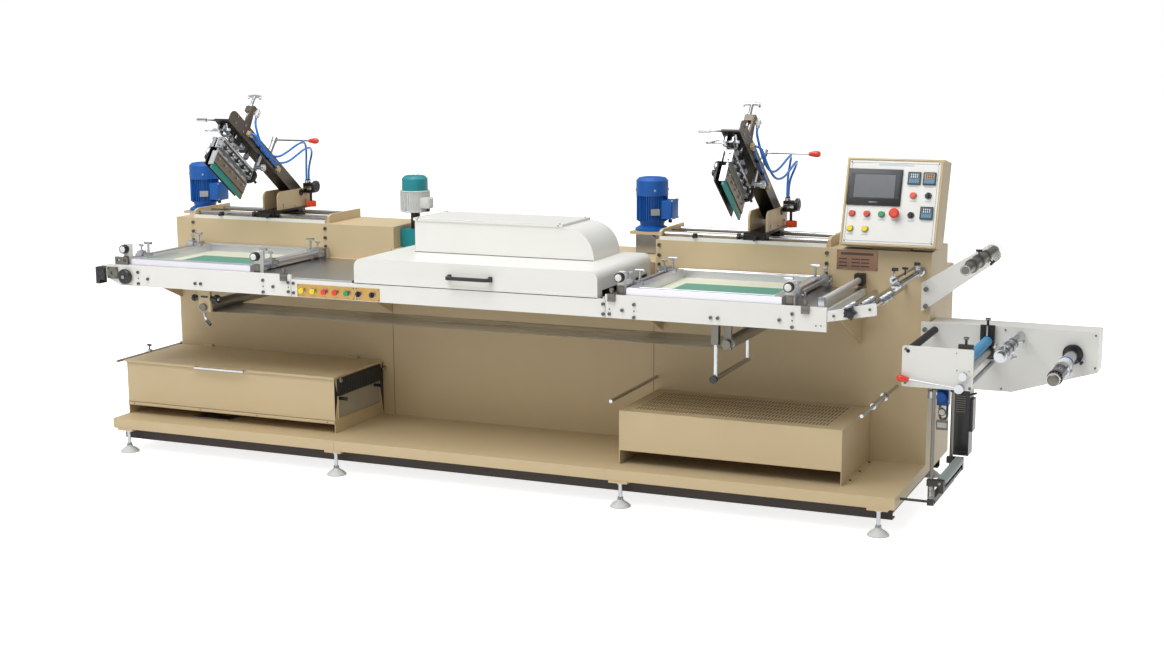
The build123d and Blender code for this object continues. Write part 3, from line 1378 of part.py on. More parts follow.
def dancer_roller():
    """The roller that hangs in the web's loop."""
    y0 = HANGER_AT_Y[0] + 12 + SEAT
    y1 = HANGER_AT_Y[1] - 12 - SEAT
    profile = [(0, y0 - 22), (6, y0 - 22), (6, y0), (DANCER_RADIUS, y0), (DANCER_RADIUS, y1),
               (6, y1), (6, y1 + 22), (0, y1 + 22)]
    return [turned(profile, (DANCER_X, 0, DANCER_Z), "y")]


def nip_lever():
    """Hand lever on the nip plate: hub with a pin, rod and tapered knob."""
    x, z = LEVER_PIVOT
    front = NIP_PLATE_Y[0] - SEAT
    hub = bar("y", (front - 26, front), LEVER_PIVOT, 17)
    hub += bar("y", (front, NIP_PLATE_Y[1] - 1), LEVER_PIVOT, 6)
    rod = bar("x", (x - 185, x - 12), (front - 18, z), 4)
    profile = [(0, 0), (8, 0), (13, 26), (13, 38), (9, 46), (0, 46)]
    knob = turned(profile, (x - 185, front - 18, z), "-x")
    tilt = Pos(x, 0, z) * Rot(0, 6.5, 0) * Pos(-x, 0, -z)
    return [tilt * (hub + rod), tilt * knob]


def guide_bars():
    """Fixed bars that guide the web: at the table's end, at the trays and at the winder."""
    parts = []
    start = RAIL_ENDS[3]
    outline = [(start, 818), (start + 186, 853), (start + 183, 899), (start, 858)]
    parts.append(prism("y", outline, (-66, -58), [0, 6, 6, 0]))
    parts.append(star_knob((3403, -66, 859), "-y", 27, 22))
    for x, z, radius in ((3350, 842, 11), (3408, 858, 9), (3466, 873, 11)):
        parts.append(bar("y", (-58, CABINET_FRONT), (x, z), radius))
    parts.append(bar("y", (90, CABINET_FRONT), (3530, 937), 12))
    parts.append(bar("y", (150, CABINET_FRONT), (3500, 948), 5))
    for x, y, z in ((3500, 200, 948), (3530, 450, 937)):
        collar = bar("y", (y - 10, y + 10), (x, z), 15)
        collar += bar("z", (z + 10, z + 34), (x, y), 4)
        parts.append(collar)
        parts.append(star_knob((x, y, z + 34), "z", 15, 12, 3))
    parts.append(bar("y", (20, CABINET_FRONT), (2421, 428), 7))
    tray_bar = bar("y", (-38, CABINET_FRONT), (3446, 468), 7)
    tray_bar += bar("y", (140, 290), (3446, 468), 12)
    tray_bar += bar("y", (320, 336), (3446, 468), 16)
    parts.append(tray_bar)
    left_bar = bar("y", (66, 566), (-18, 401), 6)
    left_bar += bar("y", (300, 322), (-18, 401), 13)
    left_bar += block((-24, SEAM / 2), (548, 566), (392, 410))
    parts.append(left_bar)
    collars = [(70, 100, 24), (150, 190, 22), (230, 262, 25), (330, 352, 22)]
    profile = shaft_profile(43, WINDER_BACK - WINDER_PLATE, 17, collars, 9, 528.9)
    profile = profile[:-3] + [(0, WINDER_BACK - WINDER_PLATE)]
    parts.append(turned(profile, (COLLAR_SHAFT[0], 0, COLLAR_SHAFT[1]), "y"))
    return parts


def service_unit():
    """Air service unit and its control box under the winder cover."""
    box = block((3666, 3734), (558, 640), (203, COVER_LOW))
    rib = block((3734, 3746), (570, 628), (300, 430))
    mount = block((LENGTH - SEAM / 2, 3604), (560, 596), (424, 452))
    body = block((3604, 3650), (556, 600), (400, 470))
    knob = bar("y", (520, 556), (3627, 440), 19)
    bowl = turned([(0, 340), (14, 340), (19, 352), (19, 400), (0, 400)], (3627, 578, 0))
    return [box, rib, mount, body, knob, bowl]


# ------------------------------------------------------------------ the whole machine


def machine():
    """Every node of the machine by name, in machine axes."""
    nodes = {
        "base_plinth": base_plinth(),
        "sub_frame": sub_frame(),
        "levelling_feet": levelling_feet(),
        "cabinet": cabinet(),
        "station_beams": station_beams(),
        "guide_rods": guide_rods(),
        "drive_motors": drive_motors(),
        "side_rails": drill_rail(side_rails()),
        "print_beds": print_beds() + roller_hangers(),
        "screen_frames": screen_frames(),
        "screen_meshes": screen_meshes(),
        "screen_clamps": screen_clamps(),
        "dryer_hood": dryer_hood(),
        "lidded_box": lidded_box(),
        "box_lid": box_lid(),
        "vented_box": vented_box(),
        "control_panel": control_panel(),
        "panel_displays": panel_displays(),
        "return_roller": under_roller(0),
        "web_roller": under_roller(1),
        "tension_bar": tension_bar(),
        "return_web": return_web(),
        "winder_frame": winder_frame(),
        "upper_reel_shaft": reel_shaft(
            UPPER_REEL, -55, 19, [(60, 80, 26), (190, 215, 26), (330, 350, 24)]),
        "rewind_shaft": reel_shaft(
            REWIND, -7, 24, [(30, 60, 28), (150, 190, 30), (510, WINDER_BACK - 12, 36)]),
        "nip_roller_top": nip_roller(NIP_UPPER_Z),
        "nip_roller_bottom": nip_roller(NIP_LOWER_Z),
        "idle_roller": idle_roller(),
        "dancer_carrier": dancer_carrier(),
        "dancer_roller": dancer_roller(),
        "nip_lever": nip_lever(),
        "guide_bars": guide_bars(),
        "service_unit": service_unit(),
    }
    for station in range(2):
        number = station + 1
        nodes[f"carriage_{number}"] = carriage(station)
        nodes[f"arm_{number}"] = arm(station)
        nodes[f"squeegee_{number}"] = squeegee(station)
        nodes[f"flood_bar_{number}"] = flood_bar(station)
        nodes[f"head_lever_{number}"] = head_lever(station)
        nodes[f"air_hoses_{number}"] = air_hoses(station)
    nodes.update(controls())
    return nodes


def extents(nodes):
    """Lowest and highest X, Y and Z of the machine; the hoses lie well inside its outline."""
    boxes = [
        solid.bounding_box()
        for name, solids in nodes.items()
        if not name.startswith("air_hoses")
        for solid in solids
    ]
    lowest = [min(tuple(box.min)[i] for box in boxes) for i in range(3)]
    highest = [max(tuple(box.max)[i] for box in boxes) for i in range(3)]
    return lowest, highest


def main():
    """Moves the machine to its origin and writes one file per node."""
    os.makedirs("parts", exist_ok=True)
    nodes = machine()
    low, high = extents(nodes)
    origin = ((low[0] + high[0]) / 2, (low[1] + high[1]) / 2, low[2])
    shift = Pos(-origin[0], -origin[1], -origin[2])
    print("origin in machine axes", *origin)
    print("size", *(b - a for a, b in zip(low, high)))
    for name, solids in nodes.items():
        moved = [shift * solid for solid in solids]
        export_step(Compound(label=name, children=moved), f"parts/{name}.step")


if __name__ == "__main__":
    main()
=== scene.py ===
"""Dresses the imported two-colour label screen printing machine and sets it in a plain studio.

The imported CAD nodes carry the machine's forms. This script gives each of them a procedural
finish and adds the small fittings that the solids leave out. Sizes are written in millimetres
in the machine's own axes (X along the machine from the plinth's left end, Y back from its front
edge, Z up from the floor) and are turned into the frame's metres in one place.
"""

from __future__ import annotations

import json
import logging
import math
from dataclasses import dataclass, field
from enum import Enum, auto
from functools import partial
from typing import Callable, Iterable, Protocol, Sequence

import bpy
from mathutils import Matrix, Vector

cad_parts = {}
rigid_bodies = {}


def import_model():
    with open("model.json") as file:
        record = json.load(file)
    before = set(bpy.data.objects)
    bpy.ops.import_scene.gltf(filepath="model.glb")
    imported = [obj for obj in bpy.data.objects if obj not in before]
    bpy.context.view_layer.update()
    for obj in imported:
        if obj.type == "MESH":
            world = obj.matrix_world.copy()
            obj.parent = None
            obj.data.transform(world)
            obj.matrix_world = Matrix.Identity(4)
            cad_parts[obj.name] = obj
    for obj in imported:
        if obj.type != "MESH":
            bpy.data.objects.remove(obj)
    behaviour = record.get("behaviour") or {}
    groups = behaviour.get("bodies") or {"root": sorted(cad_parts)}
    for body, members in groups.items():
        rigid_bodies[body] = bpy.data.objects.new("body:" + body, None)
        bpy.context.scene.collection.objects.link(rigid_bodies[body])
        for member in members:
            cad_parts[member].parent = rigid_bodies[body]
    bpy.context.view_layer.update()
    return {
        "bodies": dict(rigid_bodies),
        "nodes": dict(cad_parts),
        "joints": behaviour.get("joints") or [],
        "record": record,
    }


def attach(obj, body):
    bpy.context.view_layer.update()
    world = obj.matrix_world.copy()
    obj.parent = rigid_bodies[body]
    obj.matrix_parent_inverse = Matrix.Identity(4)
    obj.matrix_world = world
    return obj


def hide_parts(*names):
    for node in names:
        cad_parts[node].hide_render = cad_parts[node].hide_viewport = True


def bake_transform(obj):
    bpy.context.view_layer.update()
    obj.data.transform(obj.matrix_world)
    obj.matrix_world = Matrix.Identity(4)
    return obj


LOG = logging.getLogger("printing_machine")

Triple = tuple[float, float, float]
Pair = tuple[float, float]

# The frame's origin in machine millimetres.
ORIGIN: Triple = (2043.5, 449.5, 0.0)
# One millimetre in metres, and one metre in millimetres.
MM = 0.001
METRE = 1000


def place(x: float, y: float, z: float) -> Vector:
    """Turns a point in machine millimetres into frame metres."""
    return Vector(((x - ORIGIN[0]) * MM, (y - ORIGIN[1]) * MM, (z - ORIGIN[2]) * MM))


def linear(code: str) -> tuple[float, float, float, float]:
    """Turns an sRGB hex code into a linear colour.

    Args:
        code: Six hexadecimal digits, with or without a leading hash.

    Returns:
        Red, green, blue and an alpha of one.
    """
    digits = code.lstrip("#")
    values = [int(digits[i : i + 2], 16) / 255 for i in (0, 2, 4)]
    mapped = [v / 12.92 if v <= 0.04045 else ((v + 0.055) / 1.055) ** 2.4 for v in values]
    return (mapped[0], mapped[1], mapped[2], 1.0)


# --------------------------------------------------------------------------- finishes


class Kind(Enum):
    """The families of surface that the machine is made of."""

    PAINT = auto()
    METAL = auto()
    BRUSHED = auto()
    PLASTIC = auto()
    RUBBER = auto()
    FILM = auto()
    GLASS = auto()
    MESH = auto()


@dataclass(frozen=True)
class Finish:
    """One surface finish.

    Attributes:
        name: The material's name.
        kind: The family that decides its texture.
        colour: Base colour as an sRGB hex code.
        roughness: Mean roughness.
        second: The colour that its texture wanders to.
        scale_mm: Size of the texture's main feature in millimetres.
        bump: Height of the texture in millimetres.
        coat: Weight of the clear coat.
        alpha: Opacity.
    """

    name: str
    kind: Kind
    colour: str
    roughness: float
    second: str
    scale_mm: float
    bump: float
    coat: float = 0.0
    alpha: float = 1.0


# Powder coat on folded steel: a satin sheet of even colour with the faintest orange peel.
BEIGE = Finish("beige_enamel", Kind.PAINT, "#CCB892", 0.5, "#C6B18B", 220, 0.03, 0.05)
# The same enamel in white, a shade under paper so that it keeps its shading in strong light.
WHITE = Finish("white_enamel", Kind.PAINT, "#E7E7E2", 0.38, "#E1E0DB", 260, 0.02, 0.2)
# The sub frame under the plinth: a flat, nearly black dark brown, so that the plinth seems to
# float.
DARK = Finish("dark_brown_paint", Kind.PAINT, "#2B211C", 0.6, "#3A2E27", 60, 0.05)
# Bronze anodised tube: a dull brown metal with drawn lines along its length.
BRONZE = Finish("bronze_anodised", Kind.BRUSHED, "#6E655A", 0.42, "#5E564C", 1.4, 0.01)
# The blade jaws are drawn paler than the arm: partly a paler anodising, partly painted light, since
# they catch more light.
JAW_BRONZE = Finish("jaw_bronze", Kind.BRUSHED, "#837A6B", 0.4, "#776E60", 1.4, 0.01)
# Black oxide steel keeps a little oil sheen on near-black metal.
CHARCOAL = Finish("black_oxide", Kind.BRUSHED, "#3A3836", 0.42, "#454340", 1.2, 0.01)
# Ground steel: grey with fine grinding lines, drawn coarser than life so that they show.
STEEL = Finish("ground_steel", Kind.BRUSHED, "#B9BBBE", 0.3, "#A3A6AA", 1.1, 0.008)
# Hard chrome on rods: mirror bright, so it shows its surroundings.
CHROME = Finish("chrome_plate", Kind.METAL, "#BFC1C4", 0.16, "#ABAEB2", 40, 0.0)
# Milled aluminium, bead blasted: pale and satin, its highlights broad.
ALUMINIUM = Finish("satin_aluminium", Kind.BRUSHED, "#C4C6C8", 0.36, "#B2B4B7", 1.0, 0.006)
# Brass plate, etched and brushed: a warm straw metal.
BRASS = Finish("brass_plate", Kind.BRUSHED, "#C9A566", 0.36, "#B08C50", 1.2, 0.006)
# The rating plate: brushed copper under lacquer, pinkish and dull.
COPPER = Finish("copper_plate", Kind.BRUSHED, "#B5917C", 0.42, "#A8836E", 1.2, 0.006)
# Motor castings under thick brushed-on paint, which softens their ribs.
BLUE = Finish("motor_blue", Kind.PAINT, "#005CB2", 0.5, "#004E9C", 30, 0.08, 0.02)
# The fan motor has the same paint in teal, over a casting left light grey.
TEAL = Finish("motor_teal", Kind.PAINT, "#078C94", 0.44, "#067780", 30, 0.08, 0.1)
CAST_GREY = Finish("cast_grey", Kind.PAINT, "#D6D8D5", 0.5, "#C4C7C4", 12, 0.15)
# Moulded knobs and housings with the light grain of a tool face.
BLACK = Finish("black_plastic", Kind.PLASTIC, "#17171A", 0.35, "#222226", 4, 0.02, 0.1)
# Natural nylon knobs and caps: soft white with a low sheen.
WHITE_PLASTIC = Finish("white_plastic", Kind.PLASTIC, "#E4E4E0", 0.35, "#DADAD5", 6, 0.01, 0.1)
# Nitrile rubber of the idle roller and the box's folds, and the painted shade of the slit under the
# dryer hood: matt, so that its edges stay soft.
BLACK_RUBBER_AND_SHADE = Finish("black_rubber", Kind.RUBBER, "#1E1E1F", 0.72, "#2B2B2C", 3, 0.04)
# Cast polyurethane of the nip roller and soft keys: clear mid blue with little shine.
BLUE_RUBBER = Finish("blue_rubber", Kind.RUBBER, "#3E8DBE", 0.6, "#5AA3CE", 3, 0.04)
# Silicone cover of the dancer roller: a dusty grey green, nearly matt.
GREY_GREEN = Finish("grey_green_roller", Kind.RUBBER, "#8D9C97", 0.5, "#A3B0AB", 5, 0.03)
# Glossy moulded ABS of buttons and lever grips, in bright signal colours.
RED = Finish("red_plastic", Kind.PLASTIC, "#E04026", 0.34, "#D0361E", 6, 0.01, 0.15)
YELLOW = Finish("yellow_plastic", Kind.PLASTIC, "#F2D81C", 0.34, "#E6CA14", 6, 0.01, 0.15)
GREEN = Finish("green_plastic", Kind.PLASTIC, "#1E9C58", 0.28, "#18894C", 6, 0.01, 0.3)
ORANGE = Finish("orange_plastic", Kind.PLASTIC, "#EC5426", 0.34, "#DD481C", 6, 0.01, 0.15)
# Polyurethane air hose: a clear skin over deep blue.
HOSE_BLUE = Finish("hose_blue", Kind.PLASTIC, "#0E7ADB", 0.3, "#0A69C2", 5, 0.01, 0.3)
# Polyurethane squeegee strip: translucent teal that reads as a solid colour at this depth.
TEAL_BLADE = Finish("squeegee_rubber", Kind.RUBBER, "#17938A", 0.5, "#12837B", 6, 0.02)
# Woven polyester, pulled tight; its threads are drawn far coarser than life so that they show.
SCREEN_MESH = Finish("screen_mesh", Kind.MESH, "#E2E2CF", 0.5, "#D3D6BE", 1.6, 0.02)
# Hardened stencil emulsion fills the threads and tints them green.
STENCIL = Finish("screen_stencil", Kind.MESH, "#5C9C88", 0.5, "#4A8A76", 1.6, 0.02)
# Siliconised release liner: pale, very smooth and a little rippled, with long reflections.
WEB_FILM = Finish("label_web", Kind.FILM, "#D8D2C6", 0.16, "#CCC5B5", 90, 0.01, 0.6)
# Switched off display behind polished glass: nearly black with a sharp reflection.
DISPLAY = Finish("display_glass", Kind.GLASS, "#1B2127", 0.12, "#2A333B", 30, 0.0, 0.6)
# Printed polyester foil on the meters and round the panel: flat blue grey, a satin sheen.
BLUE_GREY = Finish("meter_blue", Kind.PLASTIC, "#5E7E8F", 0.35, "#547383", 6, 0.01, 0.2)
# Smoky acrylic window of the box: half clear, with polished faces.
ACRYLIC = Finish("clear_acrylic", Kind.GLASS, "#CFC8B6", 0.1, "#C2BAA6", 60, 0.0, 0.5, 0.55)
# Extruded frame bars: bright satin with a faint lilac cast.
FRAME_BAR = Finish("frame_aluminium", Kind.BRUSHED, "#E6E5EC", 0.34, "#D9D8E0", 1.0, 0.004)
# Socket screws and pins, blackened and worn.
SCREW = Finish("dark_screws", Kind.BRUSHED, "#75736F", 0.38, "#676561", 1.0, 0.004)
# Clear flange of the reel, barely tinted.
CLEAR = Finish("clear_flange", Kind.GLASS, "#EFEFEC", 0.1, "#E8E8E4", 60, 0.0, 0.5, 0.25)
# Small fittings of dull grey steel: brackets, clamps and reel cores.
GUNMETAL = Finish("dull_steel", Kind.BRUSHED, "#7D7A72", 0.42, "#6F6C65", 1.2, 0.008)
# The touch screen's unlit field, behind its own glass.
SCREEN_GREY = Finish("touch_screen", Kind.GLASS, "#5F6267", 0.2, "#56595E", 40, 0.0, 0.5)
# Lit meter window, drawn as amber plastic without light of its own.
AMBER = Finish("meter_amber", Kind.PLASTIC, "#C9995B", 0.35, "#B98A4E", 6, 0.01, 0.2)
# Pale rubber sleeve of the web guide, ground smooth: a soft sheen and no sharp highlight.
GREY_ROLLER = Finish("pale_roller", Kind.RUBBER, "#C9C6C2", 0.45, "#BDBAB5", 5, 0.01)
# Bare laminate strips under the controls: pale grey and flat.
LABEL = Finish("label_strip", Kind.PLASTIC, "#C9CFD6", 0.5, "#BFC6CE", 6, 0.01)
# Open seams and slots: the dark of the gap itself.
SHADOW = Finish("seam_shadow", Kind.PAINT, "#4A4133", 0.8, "#3E362A", 20, 0.0)


# Index of refraction of paint, plastic and clear acrylic; a metal keeps the shader's own.
IOR = 1.5
COAT_ROUGHNESS = 0.18
# A finish's roughness wanders this far to either side of its mean.
ROUGHNESS_SWING = 0.06
SMOOTHEST = 0.03
# Grinding lines run along X and are this share as dense that way.
GRINDING = (0.06, 1.0, 1.0)
# A wave texture draws three bands to a unit: six makes one band two threads wide, which is
# coarser than life so that it shows.
WEAVE_COARSENESS = 6


def node(
    tree: bpy.types.NodeTree, kind: str, at: Pair,
    links: dict[int | str, bpy.types.NodeSocket] | None = None, **values: object,
) -> bpy.types.Node:
    """Adds one shader node with its settings and links.

    Args:
        tree: The node tree to add to.
        kind: The node's type name.
        at: Where it is drawn in the editor.
        links: Other nodes' sockets that drive its inputs, by the input's name or number.
        **values: Attributes of the node, or its inputs by name with spaces as underscores.

    Returns:
        The new node.
    """
    made = tree.nodes.new(kind)
    made.location = at
    for key, value in values.items():
        if hasattr(made, key):
            setattr(made, key, value)
        else:
            made.inputs[key.replace("_", " ")].default_value = value
    for key, socket in (links or {}).items():
        tree.links.new(socket, made.inputs[key])
    return made


@dataclass
class Palette:
    """Builds each finish once and hands out its material."""

    made: dict[str, bpy.types.Material] = field(default_factory=dict)

    def material(self, finish: Finish) -> bpy.types.Material:
        """Gives the material of a finish, building it on first use.

        Args:
            finish: The finish wanted.

        Returns:
            Its material.
        """
        if finish.name not in self.made:
            self.made[finish.name] = self.build(finish)
        return self.made[finish.name]

    def build(self, finish: Finish) -> bpy.types.Material:
        """Builds the node tree of one finish.

        Args:
            finish: The finish to build.

        Returns:
            The new material.
        """
        material = bpy.data.materials.new(finish.name)
        material.use_nodes = True
        tree = material.node_tree
        tree.nodes.clear()
        coords = node(tree, "ShaderNodeTexCoord", (-1100, 0))
        shader = self.dress(tree, coords.outputs["Object"], finish)
        node(tree, "ShaderNodeOutputMaterial", (700, 0), {0: shader.outputs[0]})
        return material

    def dress(
        self, tree: bpy.types.NodeTree, position: bpy.types.NodeSocket, finish: Finish
    ) -> bpy.types.Node:
        """Adds a finish's textures and the shader that they drive.

        Args:
            tree: The node tree.
            position: Object coordinates in metres.
            finish: The finish to draw.

        Returns:
            The Principled shader.
        """
        stretch = GRINDING if finish.kind is Kind.BRUSHED else (1.0, 1.0, 1.0)
        mapping = node(tree, "ShaderNodeMapping", (-900, 0), {"Vector": position},
                       Scale=tuple(s * METRE / finish.scale_mm for s in stretch))
        noise = node(tree, "ShaderNodeTexNoise", (-680, 0), {"Vector": mapping.outputs[0]},
                     Scale=1.0, Detail=4.0, Roughness=0.6)
        factor = noise.outputs["Fac"]
        if finish.kind is Kind.MESH:
            factor = self.weave(tree, position, finish)
        colour = node(tree, "ShaderNodeMix", (-300, 160), {0: factor}, data_type="RGBA")
        colour.inputs[6].default_value = linear(finish.colour)
        colour.inputs[7].default_value = linear(finish.second)
        rough = node(tree, "ShaderNodeMapRange", (-300, -120), {"Value": noise.outputs["Fac"]},
                     To_Min=max(SMOOTHEST, finish.roughness - ROUGHNESS_SWING),
                     To_Max=min(1.0, finish.roughness + ROUGHNESS_SWING))
        links = {"Base Color": colour.outputs[2], "Roughness": rough.outputs[0]}
        if finish.bump > 0:
            bump = node(tree, "ShaderNodeBump", (80, -240), {"Height": factor}, Strength=0.6,
                        Distance=finish.bump * MM)
            links["Normal"] = bump.outputs[0]
        shader = node(tree, "ShaderNodeBsdfPrincipled", (380, 0), links, Alpha=finish.alpha,
                      Coat_Weight=finish.coat, Coat_Roughness=COAT_ROUGHNESS)
        if finish.kind in (Kind.METAL, Kind.BRUSHED):
            shader.inputs["Metallic"].default_value = 1.0
        else:
            shader.inputs["IOR"].default_value = IOR
        return shader

    def weave(
        self, tree: bpy.types.NodeTree, position: bpy.types.NodeSocket, finish: Finish
    ) -> bpy.types.NodeSocket:
        """Draws the threads of a printing screen.

        Args:
            tree: The node tree.
            position: Object coordinates in metres.
            finish: The mesh finish.

        Returns:
            A factor that rises and falls across each thread.
        """
        bands = METRE / finish.scale_mm / WEAVE_COARSENESS
        wave = node(tree, "ShaderNodeTexWave", (-680, -260), {"Vector": position}, Scale=bands)
        return wave.outputs["Fac"]


PALETTE = Palette()


# --------------------------------------------------------------------------- local frames

# Tilt of the heads at rest, their middles along the machine, and their pivot back and up.
HEAD_TILT = math.radians(37)
HEAD_X: Pair = (485.0, 2838.0)
PIVOT: Pair = (794.0, 1122.0)
# Lower left corner of the operator panel's face, and how far the face leans back.
PANEL_CORNER: Triple = (3212.0, 480.0, 1034.0)
PANEL_LEAN = math.atan2(116.0, 338.0)


def head_frame(station: int) -> Matrix:
    """Gives the frame of the first (0) or second (1) head, drawn level about its pivot."""
    seat = place(HEAD_X[station], *PIVOT)
    return Matrix.Translation(seat) @ Matrix.Rotation(-HEAD_TILT, 4, "X")


def panel_frame() -> Matrix:
    """Gives the frame of the operator panel's face: across, up the face and outward."""
    turn = Matrix.Rotation(math.pi / 2 - PANEL_LEAN, 4, "X")
    return Matrix.Translation(place(*PANEL_CORNER)) @ turn


def machine_frame() -> Matrix:
    """Gives the frame of the machine's own axes."""
    return Matrix.Translation(place(0.0, 0.0, 0.0))


# --------------------------------------------------------------------------- painting nodes

FAR = 1e6


@dataclass(frozen=True)
class Zone:
    """Faces whose centre lies inside a box take this finish.

    Attributes:
        finish: The finish inside the box.
        x: Lowest and highest X in millimetres of the local frame.
        y: Lowest and highest Y.
        z: Lowest and highest Z.
    """

    finish: Finish
    x: Pair = (-FAR, FAR)
    y: Pair = (-FAR, FAR)
    z: Pair = (-FAR, FAR)

    def holds(self, point: Vector) -> bool:
        """Tells whether a point in local millimetres lies in the box."""
        spans = (self.x, self.y, self.z)
        return all(low <= value <= high for value, (low, high) in zip(point, spans))


@dataclass
class NodePaint:
    """The finishes of one CAD node.

    Attributes:
        node: The node's name.
        base: Its main finish.
        zones: Boxes with other finishes; the first that holds a face wins.
        frame: The local frame of the zones.
        smooth: Largest angle in degrees that is shaded smooth.
    """

    node: str
    base: Finish
    zones: Sequence[Zone] = ()
    frame: Callable[[], Matrix] = machine_frame
    smooth: float = 28.0

    def apply(self, nodes: dict[str, bpy.types.Object]) -> None:
        """Assigns the materials to the node's faces.

        Args:
            nodes: The frame's nodes by name.
        """
        obj = nodes[self.node]
        obj.data.materials.clear()
        finishes = [self.base, *(zone.finish for zone in self.zones)]
        for finish in finishes:
            obj.data.materials.append(PALETTE.material(finish))
        back = self.frame().inverted()
        for polygon in obj.data.polygons:
            centre = back @ polygon.center * METRE
            index = next((i for i, z in enumerate(self.zones, 1) if z.holds(centre)), 0)
            polygon.material_index = index
        shade(obj, self.smooth)


def clear_selection() -> None:
    """Deselects everything, so that an operator acts on the new piece alone."""
    for other in bpy.context.selected_objects:
        other.select_set(False)


def activate(obj: bpy.types.Object) -> None:
    """Makes one object the only selected and active one.

    Args:
        obj: The object.
    """
    clear_selection()
    obj.select_set(True)
    bpy.context.view_layer.objects.active = obj


def shade(obj: bpy.types.Object, degrees: float) -> None:
    """Shades a mesh smooth across the edges that bend less than an angle.

    Args:
        obj: The mesh's object.
        degrees: The angle.
    """
    activate(obj)
    bpy.ops.object.shade_smooth_by_angle(angle=math.radians(degrees))
    clear_selection()


def link(obj: bpy.types.Object) -> None:
    """Puts a new object into the scene."""
    bpy.context.scene.collection.objects.link(obj)


# --------------------------------------------------------------------------- studio


@dataclass(frozen=True)
class Camera:
    """The camera at the machine's front right.

    Attributes:
        eye: Where it stands, in machine millimetres.
        yaw: Turn from +Y towards -X, in degrees.
        pitch: Downward tilt in degrees.
        roll: Roll in degrees.
        lens: Focal length in millimetres.
        sensor: Width of the sensor in millimetres.
    """

    eye: Triple = (4943.869, -6172.565, 1911.428)
    yaw: float = 23.129
    pitch: float = 10.174
    roll: float = -0.268
    lens: float = 53.411
    sensor: float = 36.0

    def build(self) -> None:
        """Adds the camera and makes it the scene's."""
        yaw, pitch, roll = (math.radians(a) for a in (self.yaw, self.pitch, self.roll))
        forward = Vector((-math.sin(yaw) * math.cos(pitch), math.cos(yaw) * math.cos(pitch),
                          -math.sin(pitch)))
        right = Vector((math.cos(yaw), math.sin(yaw), 0))
        up = right.cross(forward)
        rolled_right = right * math.cos(roll) + up * math.sin(roll)
        rolled_up = up * math.cos(roll) - right * math.sin(roll)
        data = bpy.data.cameras.new("front_camera")
        data.lens = self.lens
        data.sensor_width = self.sensor
        data.sensor_fit = "HORIZONTAL"
        camera = bpy.data.objects.new("front_camera", data)
        link(camera)
        turn = Matrix((rolled_right, rolled_up, -forward)).transposed().to_4x4()
        camera.matrix_world = Matrix.Translation(place(*self.eye)) @ turn
        bpy.context.scene.camera = camera


def camera_or_mirror(tree: bpy.types.NodeTree) -> bpy.types.NodeSocket:
    """Gives a factor that is one where the camera, a reflection or clear plastic looks.

    Args:
        tree: The node tree.

    Returns:
        The factor's socket.
    """
    path = node(tree, "ShaderNodeLightPath", (-700, 300)).outputs
    first = node(tree, "ShaderNodeMath", (-480, 300),
                 {0: path["Is Camera Ray"], 1: path["Is Glossy Ray"]}, operation="MAXIMUM")
    second = node(tree, "ShaderNodeMath", (-280, 300),
                  {0: first.outputs[0], 1: path["Is Transmission Ray"]}, operation="MAXIMUM")
    return second.outputs[0]


